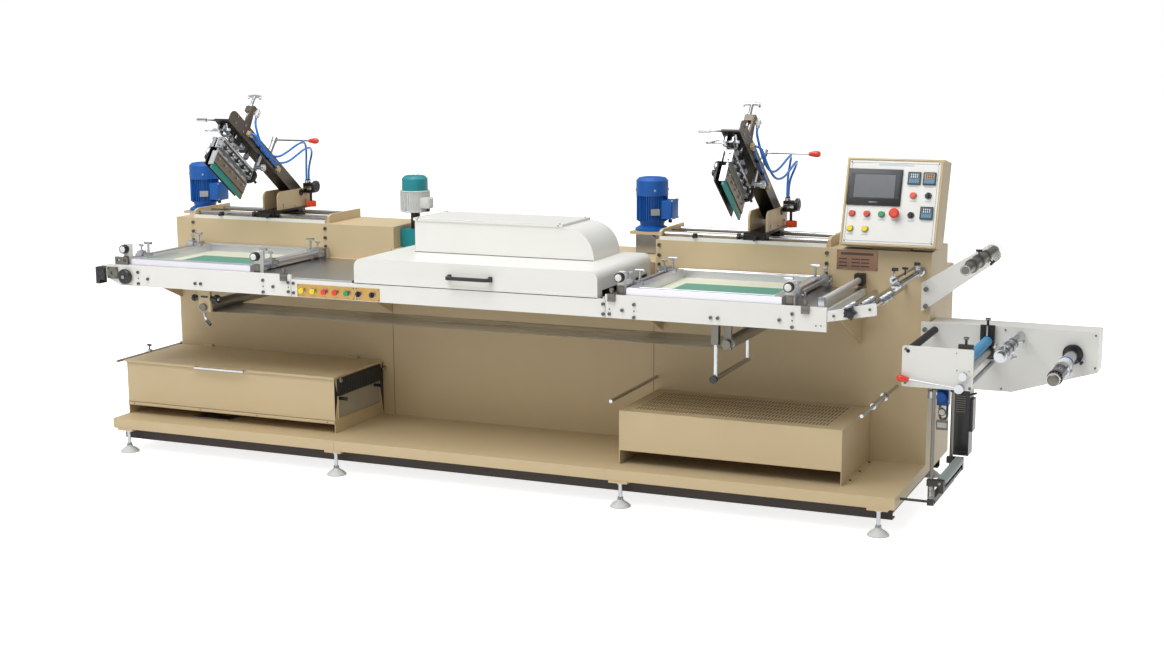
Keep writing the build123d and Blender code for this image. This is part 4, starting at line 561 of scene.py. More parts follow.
@dataclass(frozen=True)
class Studio:
    """Plain pale studio: floor, world light and soft area lamps.

    Attributes:
        world_strength: Strength of the even light from all round.
        floor_glow: What the floor adds where the camera or a mirror looks, to end in white.
        floor_colour: Its colour as an sRGB hex code.
        floor_size: Edge of the floor in metres.
        room_strength: Strength of the room that polished metal mirrors.
        room: Heights from bottom to top of that room, each with its tone.
        aim: What the lamps point at, in machine millimetres.
        lamps: Place, power in watts and size in metres of each lamp.
    """

    world_strength: float = 0.5
    floor_glow: float = 0.8
    floor_colour: str = "#E4E4E2"
    floor_size: float = 60.0
    room_strength: float = 0.9
    room: tuple[Pair, ...] = (
        (0.0, 0.3), (0.12, 0.12), (0.3, 0.75), (0.5, 0.3), (0.72, 1.0), (1.0, 0.8))
    aim: Triple = (2000.0, 300.0, 700.0)
    lamps: tuple[tuple[Triple, float, float], ...] = (
        ((-300.0, -4600.0, 3800.0), 40.0, 4.0),
        ((1200.0, -2200.0, 6000.0), 312.0, 5.0),
        ((1200.0, 2600.0, 5200.0), 40.0, 4.0),
    )

    def build(self) -> None:
        """Adds the floor, the world and the lamps."""
        self.floor()
        self.world()
        for number, (spot, power, size) in enumerate(self.lamps):
            data = bpy.data.lights.new(f"soft_lamp_{number}", "AREA")
            data.energy = power
            data.size = size
            lamp = bpy.data.objects.new(f"soft_lamp_{number}", data)
            link(lamp)
            lamp.location = place(*spot)
            way = place(*self.aim) - lamp.location
            lamp.rotation_euler = way.to_track_quat("-Z", "Y").to_euler()

    def floor(self) -> None:
        """Adds the pale floor, white to the camera and to reflections."""
        bpy.ops.mesh.primitive_plane_add(size=self.floor_size, location=(0, 0, 0))
        floor = bpy.context.object
        floor.name = "studio_floor"
        material = bpy.data.materials.new("studio_floor")
        material.use_nodes = True
        tree = material.node_tree
        tree.nodes.clear()
        diffuse = node(tree, "ShaderNodeBsdfDiffuse", (-200, 100),
                       Color=linear(self.floor_colour))
        glow = node(tree, "ShaderNodeEmission", (-200, -60), Strength=self.floor_glow)
        lifted = node(tree, "ShaderNodeAddShader", (60, 0),
                      {0: diffuse.outputs[0], 1: glow.outputs[0]})
        mix = node(tree, "ShaderNodeMixShader", (350, 0), {
            0: camera_or_mirror(tree), 1: diffuse.outputs[0], 2: lifted.outputs[0]})
        node(tree, "ShaderNodeOutputMaterial", (600, 0), {0: mix.outputs[0]})
        floor.data.materials.append(material)

    def world(self) -> None:
        """Sets a white sky, an even light from it and a banded room that metal mirrors."""
        world = bpy.data.worlds.new("pale_studio")
        bpy.context.scene.world = world
        world.use_nodes = True
        tree = world.node_tree
        tree.nodes.clear()
        white = (1.0, 1.0, 1.0, 1.0)
        light = node(tree, "ShaderNodeBackground", (0, 100), Color=white,
                     Strength=self.world_strength)
        seen = node(tree, "ShaderNodeBackground", (0, -100), Color=white, Strength=1.0)
        mix = node(tree, "ShaderNodeMixShader", (250, 0), {
            0: camera_or_mirror(tree), 1: light.outputs[0], 2: seen.outputs[0]})
        path = node(tree, "ShaderNodeLightPath", (0, 400))
        room = node(tree, "ShaderNodeBackground", (250, 200), {"Color": self.room_tone(tree)},
                    Strength=self.room_strength)
        final = node(tree, "ShaderNodeMixShader", (400, 100), {
            0: path.outputs["Is Glossy Ray"], 1: mix.outputs[0], 2: room.outputs[0]})
        node(tree, "ShaderNodeOutputWorld", (500, 0), {0: final.outputs[0]})

    def room_tone(self, tree: bpy.types.NodeTree) -> bpy.types.NodeSocket:
        """Gives the bands of light and dark that polished metal mirrors.

        Args:
            tree: The world's node tree.

        Returns:
            The colour's socket.
        """
        where = node(tree, "ShaderNodeTexCoord", (-400, 400))
        parts = node(tree, "ShaderNodeSeparateXYZ", (-200, 400), {0: where.outputs["Generated"]})
        ramp = node(tree, "ShaderNodeValToRGB", (0, 600), {0: parts.outputs["Z"]})
        stops = ramp.color_ramp.elements
        for height, _ in self.room[1:-1]:
            stops.new(height)
        for stop, (_, tone) in zip(stops, self.room):
            stop.color = (tone, tone, tone, 1)
        return ramp.outputs["Color"]


# --------------------------------------------------------------------------- node finishes


def head_paints(station: int) -> list[NodePaint]:
    """Lists the finishes of one head's nodes, in the level head's own millimetres.

    Args:
        station: Zero for the first head, one for the second.

    Returns:
        The paints of the carriage, arm, squeegee, flood bar and lever.
    """
    number = station + 1
    level = partial(head_frame, station)
    x = HEAD_X[station]
    arm_zones = (
        Zone(WHITE_PLASTIC, x=(23, 47), y=(-505, -485), z=(91, 125)),
        Zone(BEIGE, x=(31.5, 49), y=(-513, -491), z=(-15, 7)),
        Zone(BEIGE, x=(31.5, 45), y=(-231, -203), z=(-21, 3)),
        Zone(STEEL, x=(-33, 33), y=(-520, -496), z=(132.5, 200)),
        Zone(STEEL, x=(-8, 8), y=(-520, -496), z=(60, 200)),
        Zone(ALUMINIUM, x=(19, 80), y=(-380, -345), z=(-110, -31)),
        Zone(CHROME, z=(-120, -38.5)),
        Zone(CHROME, x=(-200, -62)),
        Zone(CHARCOAL, x=(-62, 31.5), z=(-38.5, -29.5)),
        Zone(CHROME, x=(5, 31), y=(-304, -276), z=(30.5, 120)),
    )
    return [
        NodePaint(f"carriage_{number}", BEIGE, (
            Zone(ORANGE, x=(x + 40, x + 110), y=(800, 870), z=(1040, 1081)),
            Zone(BLACK, x=(x + 93, x + 120), z=(1080, 1190)),
            Zone(CHARCOAL, x=(x + 43.5, x + 94), z=(1080, 1190)),
            Zone(CHROME, x=(x - 60, x - 43.5)),
            Zone(CHARCOAL, z=(1014, 1056.5)),
        )),
        NodePaint(f"arm_{number}", BRONZE, arm_zones, level),
        NodePaint(f"squeegee_{number}", STEEL, (
            Zone(BLACK, x=(15, 60), y=(-620, -351.2)),
            Zone(BLACK, y=(-346, -325)),
            Zone(ALUMINIUM, y=(-625, -617.2)),
            Zone(CHROME, z=(-97.5, 0)),
            Zone(TEAL_BLADE, z=(-256, -226.2)),
            Zone(BRASS, x=(4.2, 12), z=(-226, -172)),
            Zone(JAW_BRONZE, z=(-226.5, -171.5)),
        ), level),
        NodePaint(f"flood_bar_{number}", STEEL, (
            Zone(BLACK, x=(-70, -43.2), z=(-210, -184)),
            Zone(CHARCOAL, z=(-240, -151)),
        ), level),
        NodePaint(f"head_lever_{number}", CHROME, (Zone(RED, x=(204.5, 260)),), level),
    ]


def node_paints() -> list[NodePaint]:
    """Lists the finish of every CAD node.

    Returns:
        One paint per node.
    """
    plain = {
        BEIGE: "base_plinth cabinet station_beams vented_box", DARK: "sub_frame",
        FRAME_BAR: "screen_frames", SCREEN_MESH: "screen_meshes", WEB_FILM: "return_web",
        GUNMETAL: "upper_reel_shaft", BLUE_RUBBER: "nip_roller_top",
        STEEL: "nip_roller_bottom", BLACK_RUBBER_AND_SHADE: "idle_roller", CHARCOAL: "dancer_carrier",
        GREY_GREEN: "dancer_roller",
        RED: "stop_button print_button_1 print_button_2 emergency_stop",
        YELLOW: "jog_button_1 jog_button_2 feed_button_1 feed_button_2",
        BLACK: "mode_selector heat_selector lamp_selector fan_selector",
        GREEN: "start_button run_button", ORANGE: "reset_button",
    }
    paints = [NodePaint(name, finish) for finish, names in plain.items() for name in names.split()]
    paints += [
        NodePaint("levelling_feet", CAST_GREY, (
            Zone(BEIGE, z=(101, 111)), Zone(STEEL, z=(32, 101)))),
        NodePaint("guide_rods", CHROME, (
            *(Zone(BEIGE, x=span) for span in ((84, 98), (809, 823), (2419, 2433), (3144, 3158))),
            Zone(BLACK, y=(680, 704)), Zone(WHITE, y=(541.5, 555), z=(1011, 1026.5)),
            Zone(BLACK, y=(500, 556), z=(1026, 1050)),
        )),
        NodePaint("drive_motors", BLUE, (
            Zone(BEIGE, z=(999, 1012.5), y=(774, 926)),
            Zone(TEAL, x=(1140, 1300), z=(1167.5, 1245)),
            Zone(CAST_GREY, x=(1140, 1300), z=(1072.5, 1167.5)),
            Zone(CHARCOAL, x=(1140, 1300), z=(997.5, 1072.5)),
            Zone(TEAL, x=(1140, 1300), z=(900, 997.5)),
            Zone(CHROME, y=(770, 796), z=(915, 998)),
        )),
        NodePaint("side_rails", WHITE, (
            Zone(BRASS, y=(-73, -70.3), x=(1040, 1440), z=(782, 837)),
            Zone(BLACK, x=(0, 64.5), y=(-90, 10)),
            Zone(GUNMETAL, x=(72, 128), y=(-80, -70.2), z=(800, 865)),
            Zone(BLACK, x=(136, 208), y=(-100, -70.2)),
            Zone(GUNMETAL, x=(111, 180), z=(871.2, 910)),
            *(Zone(GUNMETAL, x=span, y=(-82, -55), z=(844, 900))
              for span in ((960, 998), (2446, 2480), (3217, 3251))),
            Zone(BEIGE, y=(-57, 540), z=(620, 781)),
            Zone(BEIGE, y=(517, 540)),
            Zone(STEEL, y=(500, 540), z=(880, 920)),
        )),
        NodePaint("print_beds", STEEL, (
            Zone(BLACK, x=(490, 514.5), z=(700, 790)),
            Zone(BLACK, x=(575.5, 600), z=(700, 790)),
            Zone(GUNMETAL, x=(2850, 2960), z=(660, 839)),
            Zone(BEIGE, x=(514, 576), z=(660, 839)),
        )),
        NodePaint("screen_clamps", CHROME, (
            Zone(BLACK, y=(-75, -45.5), z=(910, 960)),
            Zone(WHITE, y=(-46, -14), z=(859, 959)),
            Zone(ALUMINIUM, z=(859, 917)),
        )),
        NodePaint("dryer_hood", WHITE, (
            Zone(BLACK, y=(-110, -70.2)),
            Zone(STEEL, y=(514.5, 540)),
        )),
        NodePaint("lidded_box", BEIGE, (
            Zone(BLACK, x=(1095.5, 1112), z=(318, 393)),
            Zone(CHROME, y=(499, 540), z=(355, 380), x=(1095, 1120)),
            Zone(BLACK, x=(1095, 1130), z=(290, 312)),
            Zone(ACRYLIC, x=(1089, 1092.5), z=(210, 323)),
            Zone(STEEL, z=(154, 159.5), x=(329, 521)),
        )),
        NodePaint("box_lid", BEIGE, (Zone(CHROME, y=(60, 104)),)),
        NodePaint("control_panel", BEIGE, (
            Zone(WHITE, z=(0.2, 5)),
        ), panel_frame),
        NodePaint("panel_displays", DISPLAY, (
            Zone(RED, x=(20, 60), y=(110, 145)),
        ), panel_frame),
        *(NodePaint(name, STEEL, (Zone(GUNMETAL, y=(-60, -37.5)),))
          for name in ("return_roller", "web_roller")),
        NodePaint("tension_bar", CHROME, (Zone(BLACK, y=(-75, -57.5)),)),
        NodePaint("winder_frame", WHITE, (
            Zone(BLACK, x=(3780, 3820), z=(742, 780)),
            Zone(CHARCOAL, x=(3772, 3828), y=(64, 86), z=(608, 743)),
            Zone(CHARCOAL, x=(3772, 3828), y=(508, 528.9), z=(608, 743)),
            Zone(CHROME, y=(41, 54.9)),
            Zone(STEEL, y=(66, 528), z=(570, 610)),
            Zone(GUNMETAL, z=(142, 577), y=(80, 120)),
            Zone(GUNMETAL, z=(142, 491), y=(450, 490)),
            Zone(CHARCOAL, z=(100, 512)),
        )),
        NodePaint("rewind_shaft", CHROME, (Zone(BLACK, y=(509, 528)), Zone(BLACK, y=(29, 61)))),
        NodePaint("nip_lever", CHROME, (Zone(RED, x=(3540, 3602)),)),
        NodePaint("guide_bars", CHROME, (
            Zone(WHITE, x=(3313, 3502), y=(-66.5, -57.5)),
            Zone(BLACK, y=(-90, -66.2)),
            Zone(BLACK, z=(981, 995)),
            Zone(BLACK, z=(970, 984), x=(3480, 3560)),
        )),
        NodePaint("service_unit", BLACK, (
            Zone(STEEL, x=(3560, 3605)),
            Zone(BLUE, x=(3603, 3651), y=(519, 557)),
            Zone(ALUMINIUM, x=(3603, 3651)),
        )),
    ]
    return paints + head_paints(0) + head_paints(1)


# --------------------------------------------------------------------------- modelling by hand


class Axis(Enum):
    """The three directions of a local frame."""

    X = 0
    Y = 1
    Z = 2


AXIS_TURN = {
    Axis.X: (0.0, math.pi / 2, 0.0),
    Axis.Y: (-math.pi / 2, 0.0, 0.0),
    Axis.Z: (0.0, 0.0, 0.0),
}


# A bevel rounds the edges that bend more than SHARP. Edges that bend less than SMOOTH degrees
# are shaded smooth.
SHARP = math.radians(35)
SMOOTH = 32.0
# A face looks one way where its normal's share along that way is above this.
FACING = 0.95
# Points round one turn of a coil spring, and the radius of its wire in millimetres.
COIL_STEPS = 12
COIL_WIRE = 1.4


def lay_line(points: Sequence[Sequence[float]], steps: int) -> bpy.types.Object:
    """Lays a curve along control points.

    Args:
        points: Control points in metres.
        steps: Steps between two points of a flowing line, or zero for straight runs.

    Returns:
        The curve, without thickness.
    """
    curve = bpy.data.curves.new("line", "CURVE")
    curve.dimensions = "3D"
    spline = curve.splines.new("NURBS" if steps else "POLY")
    spline.points.add(len(points) - 1)
    for point, where in zip(spline.points, points):
        point.co = (*where, 1)
    if steps:
        spline.order_u = 3
        spline.use_endpoint_u = True
        spline.resolution_u = steps
    line = bpy.data.objects.new("line", curve)
    link(line)
    return line


def thicken(line: bpy.types.Object, radius: float) -> bpy.types.Object:
    """Gives a laid curve a round section and makes it a mesh.

    Args:
        line: The curve.
        radius: Radius of its section in millimetres.

    Returns:
        The wire or tube.
    """
    line.data.bevel_depth = radius * MM
    line.data.bevel_resolution = 3
    line.data.use_fill_caps = True
    activate(line)
    bpy.ops.object.convert(target="MESH")
    return bpy.context.object


def flat_grid(at: Vector, size: Pair, cells: tuple[int, int]) -> bpy.types.Object:
    """Models a flat sheet of even cells.

    Args:
        at: Its middle in the frame.
        size: Its lengths along X and Y in metres.
        cells: Its cells along X and Y.

    Returns:
        The sheet.
    """
    clear_selection()
    bpy.ops.mesh.primitive_grid_add(x_subdivisions=cells[0], y_subdivisions=cells[1], size=1,
                                    location=at)
    bpy.context.object.scale = (*size, 1)
    return Workpiece.placed().obj


@dataclass
class Workpiece:
    """One new piece, modelled step by step in its own local frame in metres.

    Attributes:
        obj: The Blender object that holds the mesh.
    """

    obj: bpy.types.Object

    @classmethod
    def placed(cls) -> Workpiece:
        """Takes up the primitive that was just added and puts its place into its mesh."""
        bpy.ops.object.transform_apply(location=True, rotation=True, scale=True)
        return cls(bpy.context.object)

    @classmethod
    def block(cls, x: Pair, y: Pair, z: Pair) -> Workpiece:
        """Starts from a cube of the given limits in millimetres.

        Args:
            x: Limits along X.
            y: Limits along Y.
            z: Limits along Z.

        Returns:
            The new piece.
        """
        clear_selection()
        middle = [(low + high) / 2 * MM for low, high in (x, y, z)]
        size = [(high - low) * MM for low, high in (x, y, z)]
        bpy.ops.mesh.primitive_cube_add(size=1, location=middle, scale=size)
        return cls.placed()

    @classmethod
    def rod(cls, axis: Axis, span: Pair, at: Pair, radius: float, tip: float = -1.0,
            sides: int = 20) -> Workpiece:
        """Starts from a cylinder or cone between two places along an axis.

        Args:
            axis: The direction of the rod.
            span: Where it starts and ends along the axis.
            at: Its place across the axis, in the order of the other two axes.
            radius: Radius at the start.
            tip: Radius at the end, or below zero for the same.
            sides: Number of sides.

        Returns:
            The new piece.
        """
        clear_selection()
        middle = [v * MM for v in at]
        middle.insert(axis.value, (span[0] + span[1]) / 2 * MM)
        bpy.ops.mesh.primitive_cone_add(
            vertices=sides, radius1=radius * MM, radius2=(radius if tip < 0 else tip) * MM,
            depth=(span[1] - span[0]) * MM, location=middle, rotation=AXIS_TURN[axis])
        return cls.placed()

    @classmethod
    def ring(cls, axis: Axis, at: Triple, radius: float, thick: float,
             sides: int = 28) -> Workpiece:
        """Starts from a torus about an axis.

        Args:
            axis: The axis it lies around.
            at: Its middle in millimetres.
            radius: Radius of its centreline.
            thick: Radius of its section.
            sides: Segments round the ring.

        Returns:
            The new piece.
        """
        clear_selection()
        bpy.ops.mesh.primitive_torus_add(
            major_segments=sides, minor_segments=8, major_radius=radius * MM,
            minor_radius=thick * MM, location=[v * MM for v in at], rotation=AXIS_TURN[axis])
        return cls.placed()

    @classmethod
    def wire(cls, points: Sequence[Triple], radius: float, smooth: bool = True) -> Workpiece:
        """Bends a round wire along control points, in one flow or in straight runs."""
        line = lay_line([[v * MM for v in point] for point in points], 8 if smooth else 0)
        return cls(thicken(line, radius))

    def shape(self, facing: Triple, margin: float, depth: float) -> Workpiece:
        """Insets the faces that look one way and pushes them out or in.

        Args:
            facing: The direction that the faces look.
            margin: Width of the inset border in millimetres.
            depth: How far they move along that direction; below zero sinks them.

        Returns:
            This piece.
        """
        activate(self.obj)
        way = Vector(facing)
        for polygon in self.obj.data.polygons:
            polygon.select = polygon.normal.dot(way) > FACING
        for edge in self.obj.data.edges:
            edge.select = False
        bpy.ops.object.mode_set(mode="EDIT")
        bpy.ops.mesh.select_mode(type="FACE")
        if margin > 0:
            bpy.ops.mesh.inset(thickness=margin * MM, depth=0)
        bpy.ops.mesh.extrude_region_move(
            TRANSFORM_OT_translate={"value": way * depth * MM, "orient_type": "GLOBAL"})
        bpy.ops.object.mode_set(mode="OBJECT")
        return self

    def soften(self, width: float, segments: int = 2) -> Workpiece:
        """Rounds the sharp edges with an applied bevel.

        Args:
            width: Width of the rounding in millimetres.
            segments: Steps across it.

        Returns:
            This piece.
        """
        activate(self.obj)
        bevel = self.obj.modifiers.new("edges", "BEVEL")
        bevel.width = width * MM
        bevel.segments = segments
        bevel.limit_method = "ANGLE"
        bevel.angle_limit = SHARP
        bpy.ops.object.modifier_apply(modifier=bevel.name)
        return self

    def paint(self, finish: Finish) -> Workpiece:
        """Gives the whole piece one finish.

        Args:
            finish: The finish.

        Returns:
            This piece.
        """
        self.obj.data.materials.clear()
        self.obj.data.materials.append(PALETTE.material(finish))
        return self

    def turned(self, axis: Axis, degrees: float, about: Triple = (0, 0, 0)) -> Workpiece:
        """Turns the piece about an axis through a point.

        Args:
            axis: The axis.
            degrees: The turn.
            about: A point on the axis in millimetres.

        Returns:
            This piece.
        """
        middle = Matrix.Translation(Vector(about) * MM)
        turn = Matrix.Rotation(math.radians(degrees), 4, axis.name)
        self.obj.data.transform(middle @ turn @ middle.inverted())
        return self

    def twin(self, shift: Triple = (0, 0, 0)) -> Workpiece:
        """Copies the piece with a mesh of its own.

        Args:
            shift: How far the copy is moved, in millimetres.

        Returns:
            The copy.
        """
        copy = self.obj.copy()
        copy.data = self.obj.data.copy()
        copy.data.transform(Matrix.Translation(Vector(shift) * MM))
        link(copy)
        return Workpiece(copy)

    def repeat(self, shifts: Iterable[Triple]) -> Workpiece:
        """Repeats the piece at each shift and joins the copies to it."""
        return self.merge(*[self.twin(shift) for shift in shifts])

    def row(self, axis: Axis, pitch: float, count: int) -> Workpiece:
        """Repeats the piece at an even pitch along an axis.

        Args:
            axis: The axis.
            pitch: Distance from one to the next in millimetres.
            count: How many there are in all.

        Returns:
            This piece with its copies.
        """
        step = [float(way is axis) for way in Axis]
        return self.repeat([(step[0] * pitch * i, step[1] * pitch * i, step[2] * pitch * i)
                            for i in range(1, count)])

    def wheel(self, axis: Axis, about: Triple, count: int) -> Workpiece:
        """Repeats the piece evenly round an axis through a point, count times in all."""
        turns = [360 * i / count for i in range(1, count)]
        return self.merge(*[self.twin().turned(axis, turn, about) for turn in turns])

    def merge(self, *others: Workpiece) -> Workpiece:
        """Joins other pieces to this one.

        Args:
            *others: The pieces to join.

        Returns:
            This piece.
        """
        if others:
            activate(self.obj)
            for other in others:
                other.obj.select_set(True)
            bpy.ops.object.join()
        return self

    def settle(self, name: str, body: str, frame: Matrix | None = None) -> None:
        """Names the piece, brings it into the frame and lets it ride on a body.

        Args:
            name: The piece's name.
            body: The CAD body that carries it.
            frame: Its local frame; the machine's own if none.
        """
        shade(self.obj, SMOOTH)
        self.obj.name = name
        self.obj.data.name = name
        self.obj.data.transform(frame if frame is not None else machine_frame())
        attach(self.obj, body)
        LOG.info("built %s on %s", name, body)


def socket_screw(axis: Axis, face: float, at: Pair, radius: float, out: float = 1.0) -> Workpiece:
    """Models a socket screw head that stands on a face.

    Args:
        axis: The axis that the face looks along.
        face: Where the face lies on that axis, in millimetres.
        at: The screw's place across the axis.
        radius: Radius of its head.
        out: One where the face looks along the axis, minus one where it looks back.

    Returns:
        The screw head.
    """
    # The head is not quite as high as its radius, and its socket is half as deep.
    span = sorted((face, face + out * radius * 0.9))
    head = Workpiece.rod(axis, (span[0], span[1]), at, radius, sides=14)
    way = [0.0, 0.0, 0.0]
    way[axis.value] = out
    return head.shape((way[0], way[1], way[2]), radius * 0.45, -radius * 0.5)


def star_knob(axis: Axis, span: Pair, at: Pair, radius: float, lobes: int = 6) -> Workpiece:
    """Models a lobed clamping knob.

    Args:
        axis: Its axis.
        span: Where it starts and ends along the axis.
        at: Its place across the axis.
        radius: Radius over the lobes.
        lobes: Number of lobes.

    Returns:
        The knob.
    """
    hub = Workpiece.rod(axis, span, at, radius * 0.72, sides=24)
    about = [at[0], at[1]]
    about.insert(axis.value, span[0])
    lobe_at = (at[0] + radius * 0.7, at[1])
    lobe = Workpiece.rod(axis, span, lobe_at, radius * 0.3, sides=10)
    lobe.wheel(axis, (about[0], about[1], about[2]), lobes)
    return hub.merge(lobe).soften(1.5, 2)


def coil_spring(top: Triple, radius: float, height: float, turns: int) -> Workpiece:
    """Winds a coil spring downwards from a point.

    Args:
        top: Middle of its upper end.
        radius: Radius of the coil.
        height: Its height.
        turns: Number of turns.

    Returns:
        The spring.
    """
    steps = turns * COIL_STEPS
    points = []
    for i in range(steps + 1):
        angle = 2 * math.pi * turns * i / steps
        points.append((top[0] + radius * math.cos(angle), top[1] + radius * math.sin(angle),
                       top[2] - height * i / steps))
    return Workpiece.wire(points, COIL_WIRE)


def screw_group(axis: Axis, face: float, places: Sequence[Pair], radius: float,
                out: float = 1.0) -> Workpiece:
    """Models socket screws of one size at several places of a face, as one piece."""
    first, *others = [socket_screw(axis, face, at, radius, out) for at in places]
    return first.merge(*others).paint(SCREW)


def wing_screw(axis: Axis, start: float, at: Pair, length: float, out: float = 1.0) -> Workpiece:
    """Models a small screw with a cross handle.

    Args:
        axis: Its axis.
        start: Where it leaves what it clamps.
        at: Its place across the axis.
        length: How far it stands out.
        out: The way it points along the axis.

    Returns:
        The screw.
    """
    low, high = sorted((start, start + out * length))
    shank = Workpiece.rod(axis, (low, high), at, 3.2, sides=12)
    tip = start + out * length
    middle = [at[0], at[1]]
    middle.insert(axis.value, tip)
    limits = [(c - 3.5, c + 3.5) for c in middle]
    wide = 2 if axis is Axis.X else 0
    limits[wide] = (middle[wide] - 12, middle[wide] + 12)
    limits[axis.value] = (tip - 5, tip + 5)
    grip = Workpiece.block(limits[0], limits[1], limits[2]).soften(3, 2)
    return shank.merge(grip)


# --------------------------------------------------------------------------- sub-assemblies


@dataclass
class MotorDress:
    """Fins, cowl screws, plate and terminal box lid of one blue drive motor.

    Attributes:
        x: The motor's axis along the machine.
        number: One or two.
        y: The axis's place back from the front.
        body: Where the finned part starts and ends.
        radius: Radius of the finned part.
        fins: Number of fins.
    """

    x: float
    number: int
    y: float = 850.0
    body: Pair = (1056.0, 1164.0)
    radius: float = 62.0
    fins: int = 40

    def build(self) -> None:
        """Models the fins and the fittings."""
        low, high = self.body
        r = self.radius
        about = (self.x, self.y, low)
        fin = Workpiece.block((self.x + r - 3, self.x + r + 6.5), (self.y - 0.9, self.y + 0.9),
                              (low, high)).soften(0.5, 1)
        fins = fin.wheel(Axis.Z, about, self.fins).paint(BLUE)
        lid = Workpiece.block((self.x + 98, self.x + 104), (self.y - 45, self.y + 45),
                              (1064, 1150)).shape((1, 0, 0), 6, 3).soften(1.5, 2).paint(BLUE)
        screw = socket_screw(Axis.X, self.x + 104, (self.y - 40, 1069), 4)
        screw.repeat([(0, 80, 0), (0, 0, 76), (0, 80, 76)]).paint(STEEL)
        gland = Workpiece.rod(Axis.Z, (1048, 1067), (self.x + 84, self.y), 9, sides=6)
        gland.soften(1, 1).paint(BLACK)
        cowl = socket_screw(Axis.X, self.x + 69, (self.y, 1190), 5)
        cowl.turned(Axis.Z, -60, about).wheel(Axis.Z, about, 4).paint(STEEL)
        rim = Workpiece.ring(Axis.Z, (self.x, self.y, 1166), 69.5, 1.6, 40).paint(BLUE)
        top = Workpiece.ring(Axis.Z, (self.x, self.y, 1242), 42, 2.4, 36)
        top.merge(Workpiece.ring(Axis.Z, (self.x, self.y, 1242), 28, 2.0, 30),
                  Workpiece.ring(Axis.Z, (self.x, self.y, 1242), 14, 2.0, 24)).paint(BLUE)
        plate = Workpiece.block((self.x - 24, self.x + 16), (self.y - 70.5, self.y - 66),
                                (1082, 1110)).shape((0, -1, 0), 2, 0.6).paint(ALUMINIUM)
        plate.turned(Axis.Z, 35, about)
        fins.merge(lid, screw, gland, cowl, rim, top, plate)
        fins.settle(f"drive_motor_{self.number}_dress", "machine")


@dataclass
class FanMotorDress:
    """Ribs, bands and terminal box of the dryer's fan motor.

    Attributes:
        at: Its axis, across and back.
        body: Where the ribbed part starts and ends.
        radius: Radius of the ribbed part.
    """

    at: Pair = (1217.0, 652.0)
    body: Pair = (1076.0, 1166.0)
    radius: float = 62.0

    def build(self) -> None:
        """Models the ribs, the bands and the box."""
        x, y = self.at
        low, high = self.body
        about = (x, y, low)
        rib = Workpiece.block((x + self.radius - 2, x + self.radius + 4), (y - 1.3, y + 1.3),
                              (low, high)).soften(0.6, 1)
        ribs = rib.wheel(Axis.Z, about, 36).paint(CAST_GREY)
        bands = Workpiece.ring(Axis.Z, (x, y, low), self.radius + 1, 3.2, 40)
        bands.merge(Workpiece.ring(Axis.Z, (x, y, high), self.radius + 1, 3.2, 40))
        bands.paint(CAST_GREY)
        box = Workpiece.block((x + 50, x + 92), (y - 44, y - 2), (1092, 1140))
        box.shape((1, 0, 0), 4, 4).soften(2, 2).paint(CAST_GREY)
        gland = Workpiece.rod(Axis.Z, (1078, 1092), (x + 78, y - 24), 7, sides=6).paint(BLACK)
        vents = Workpiece.block((x - 3, x + 3), (y - 40, y - 14), (1232, 1235.5)).soften(1, 1)
        vents.wheel(Axis.Z, about, 10).paint(TEAL)
        ribs.merge(bands, box, gland, vents).settle("fan_motor_dress", "machine")


@dataclass
class HoseRun:
    """One air hose from the arm to the valve, flowing along its route.

    Attributes:
        station: Zero or one.
        number: One or two.
        route: Control points, across from the head's middle, back and up, in millimetres.
        length: Its real length in millimetres; not used.
        radius: Its outer radius.
    """

    station: int
    number: int
    route: tuple[Triple, ...]
    length: float
    radius: float = 5.0

    def build(self) -> None:
        x = HEAD_X[self.station]
        line = lay_line([place(x + across, y, z) for across, y, z in self.route], 10)
        mesh = bpy.data.meshes.new_from_object(line)
        tube = thicken(line, self.radius)
        side = self.station + 1
        tube.name = f"air_hose_{side}_{self.number}"
        tube.data.materials.append(PALETTE.material(HOSE_BLUE))
        shade(tube, 50)
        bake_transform(tube)
        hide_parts(f"air_hoses_{side}")
        LOG.info("built %s", tube.name)


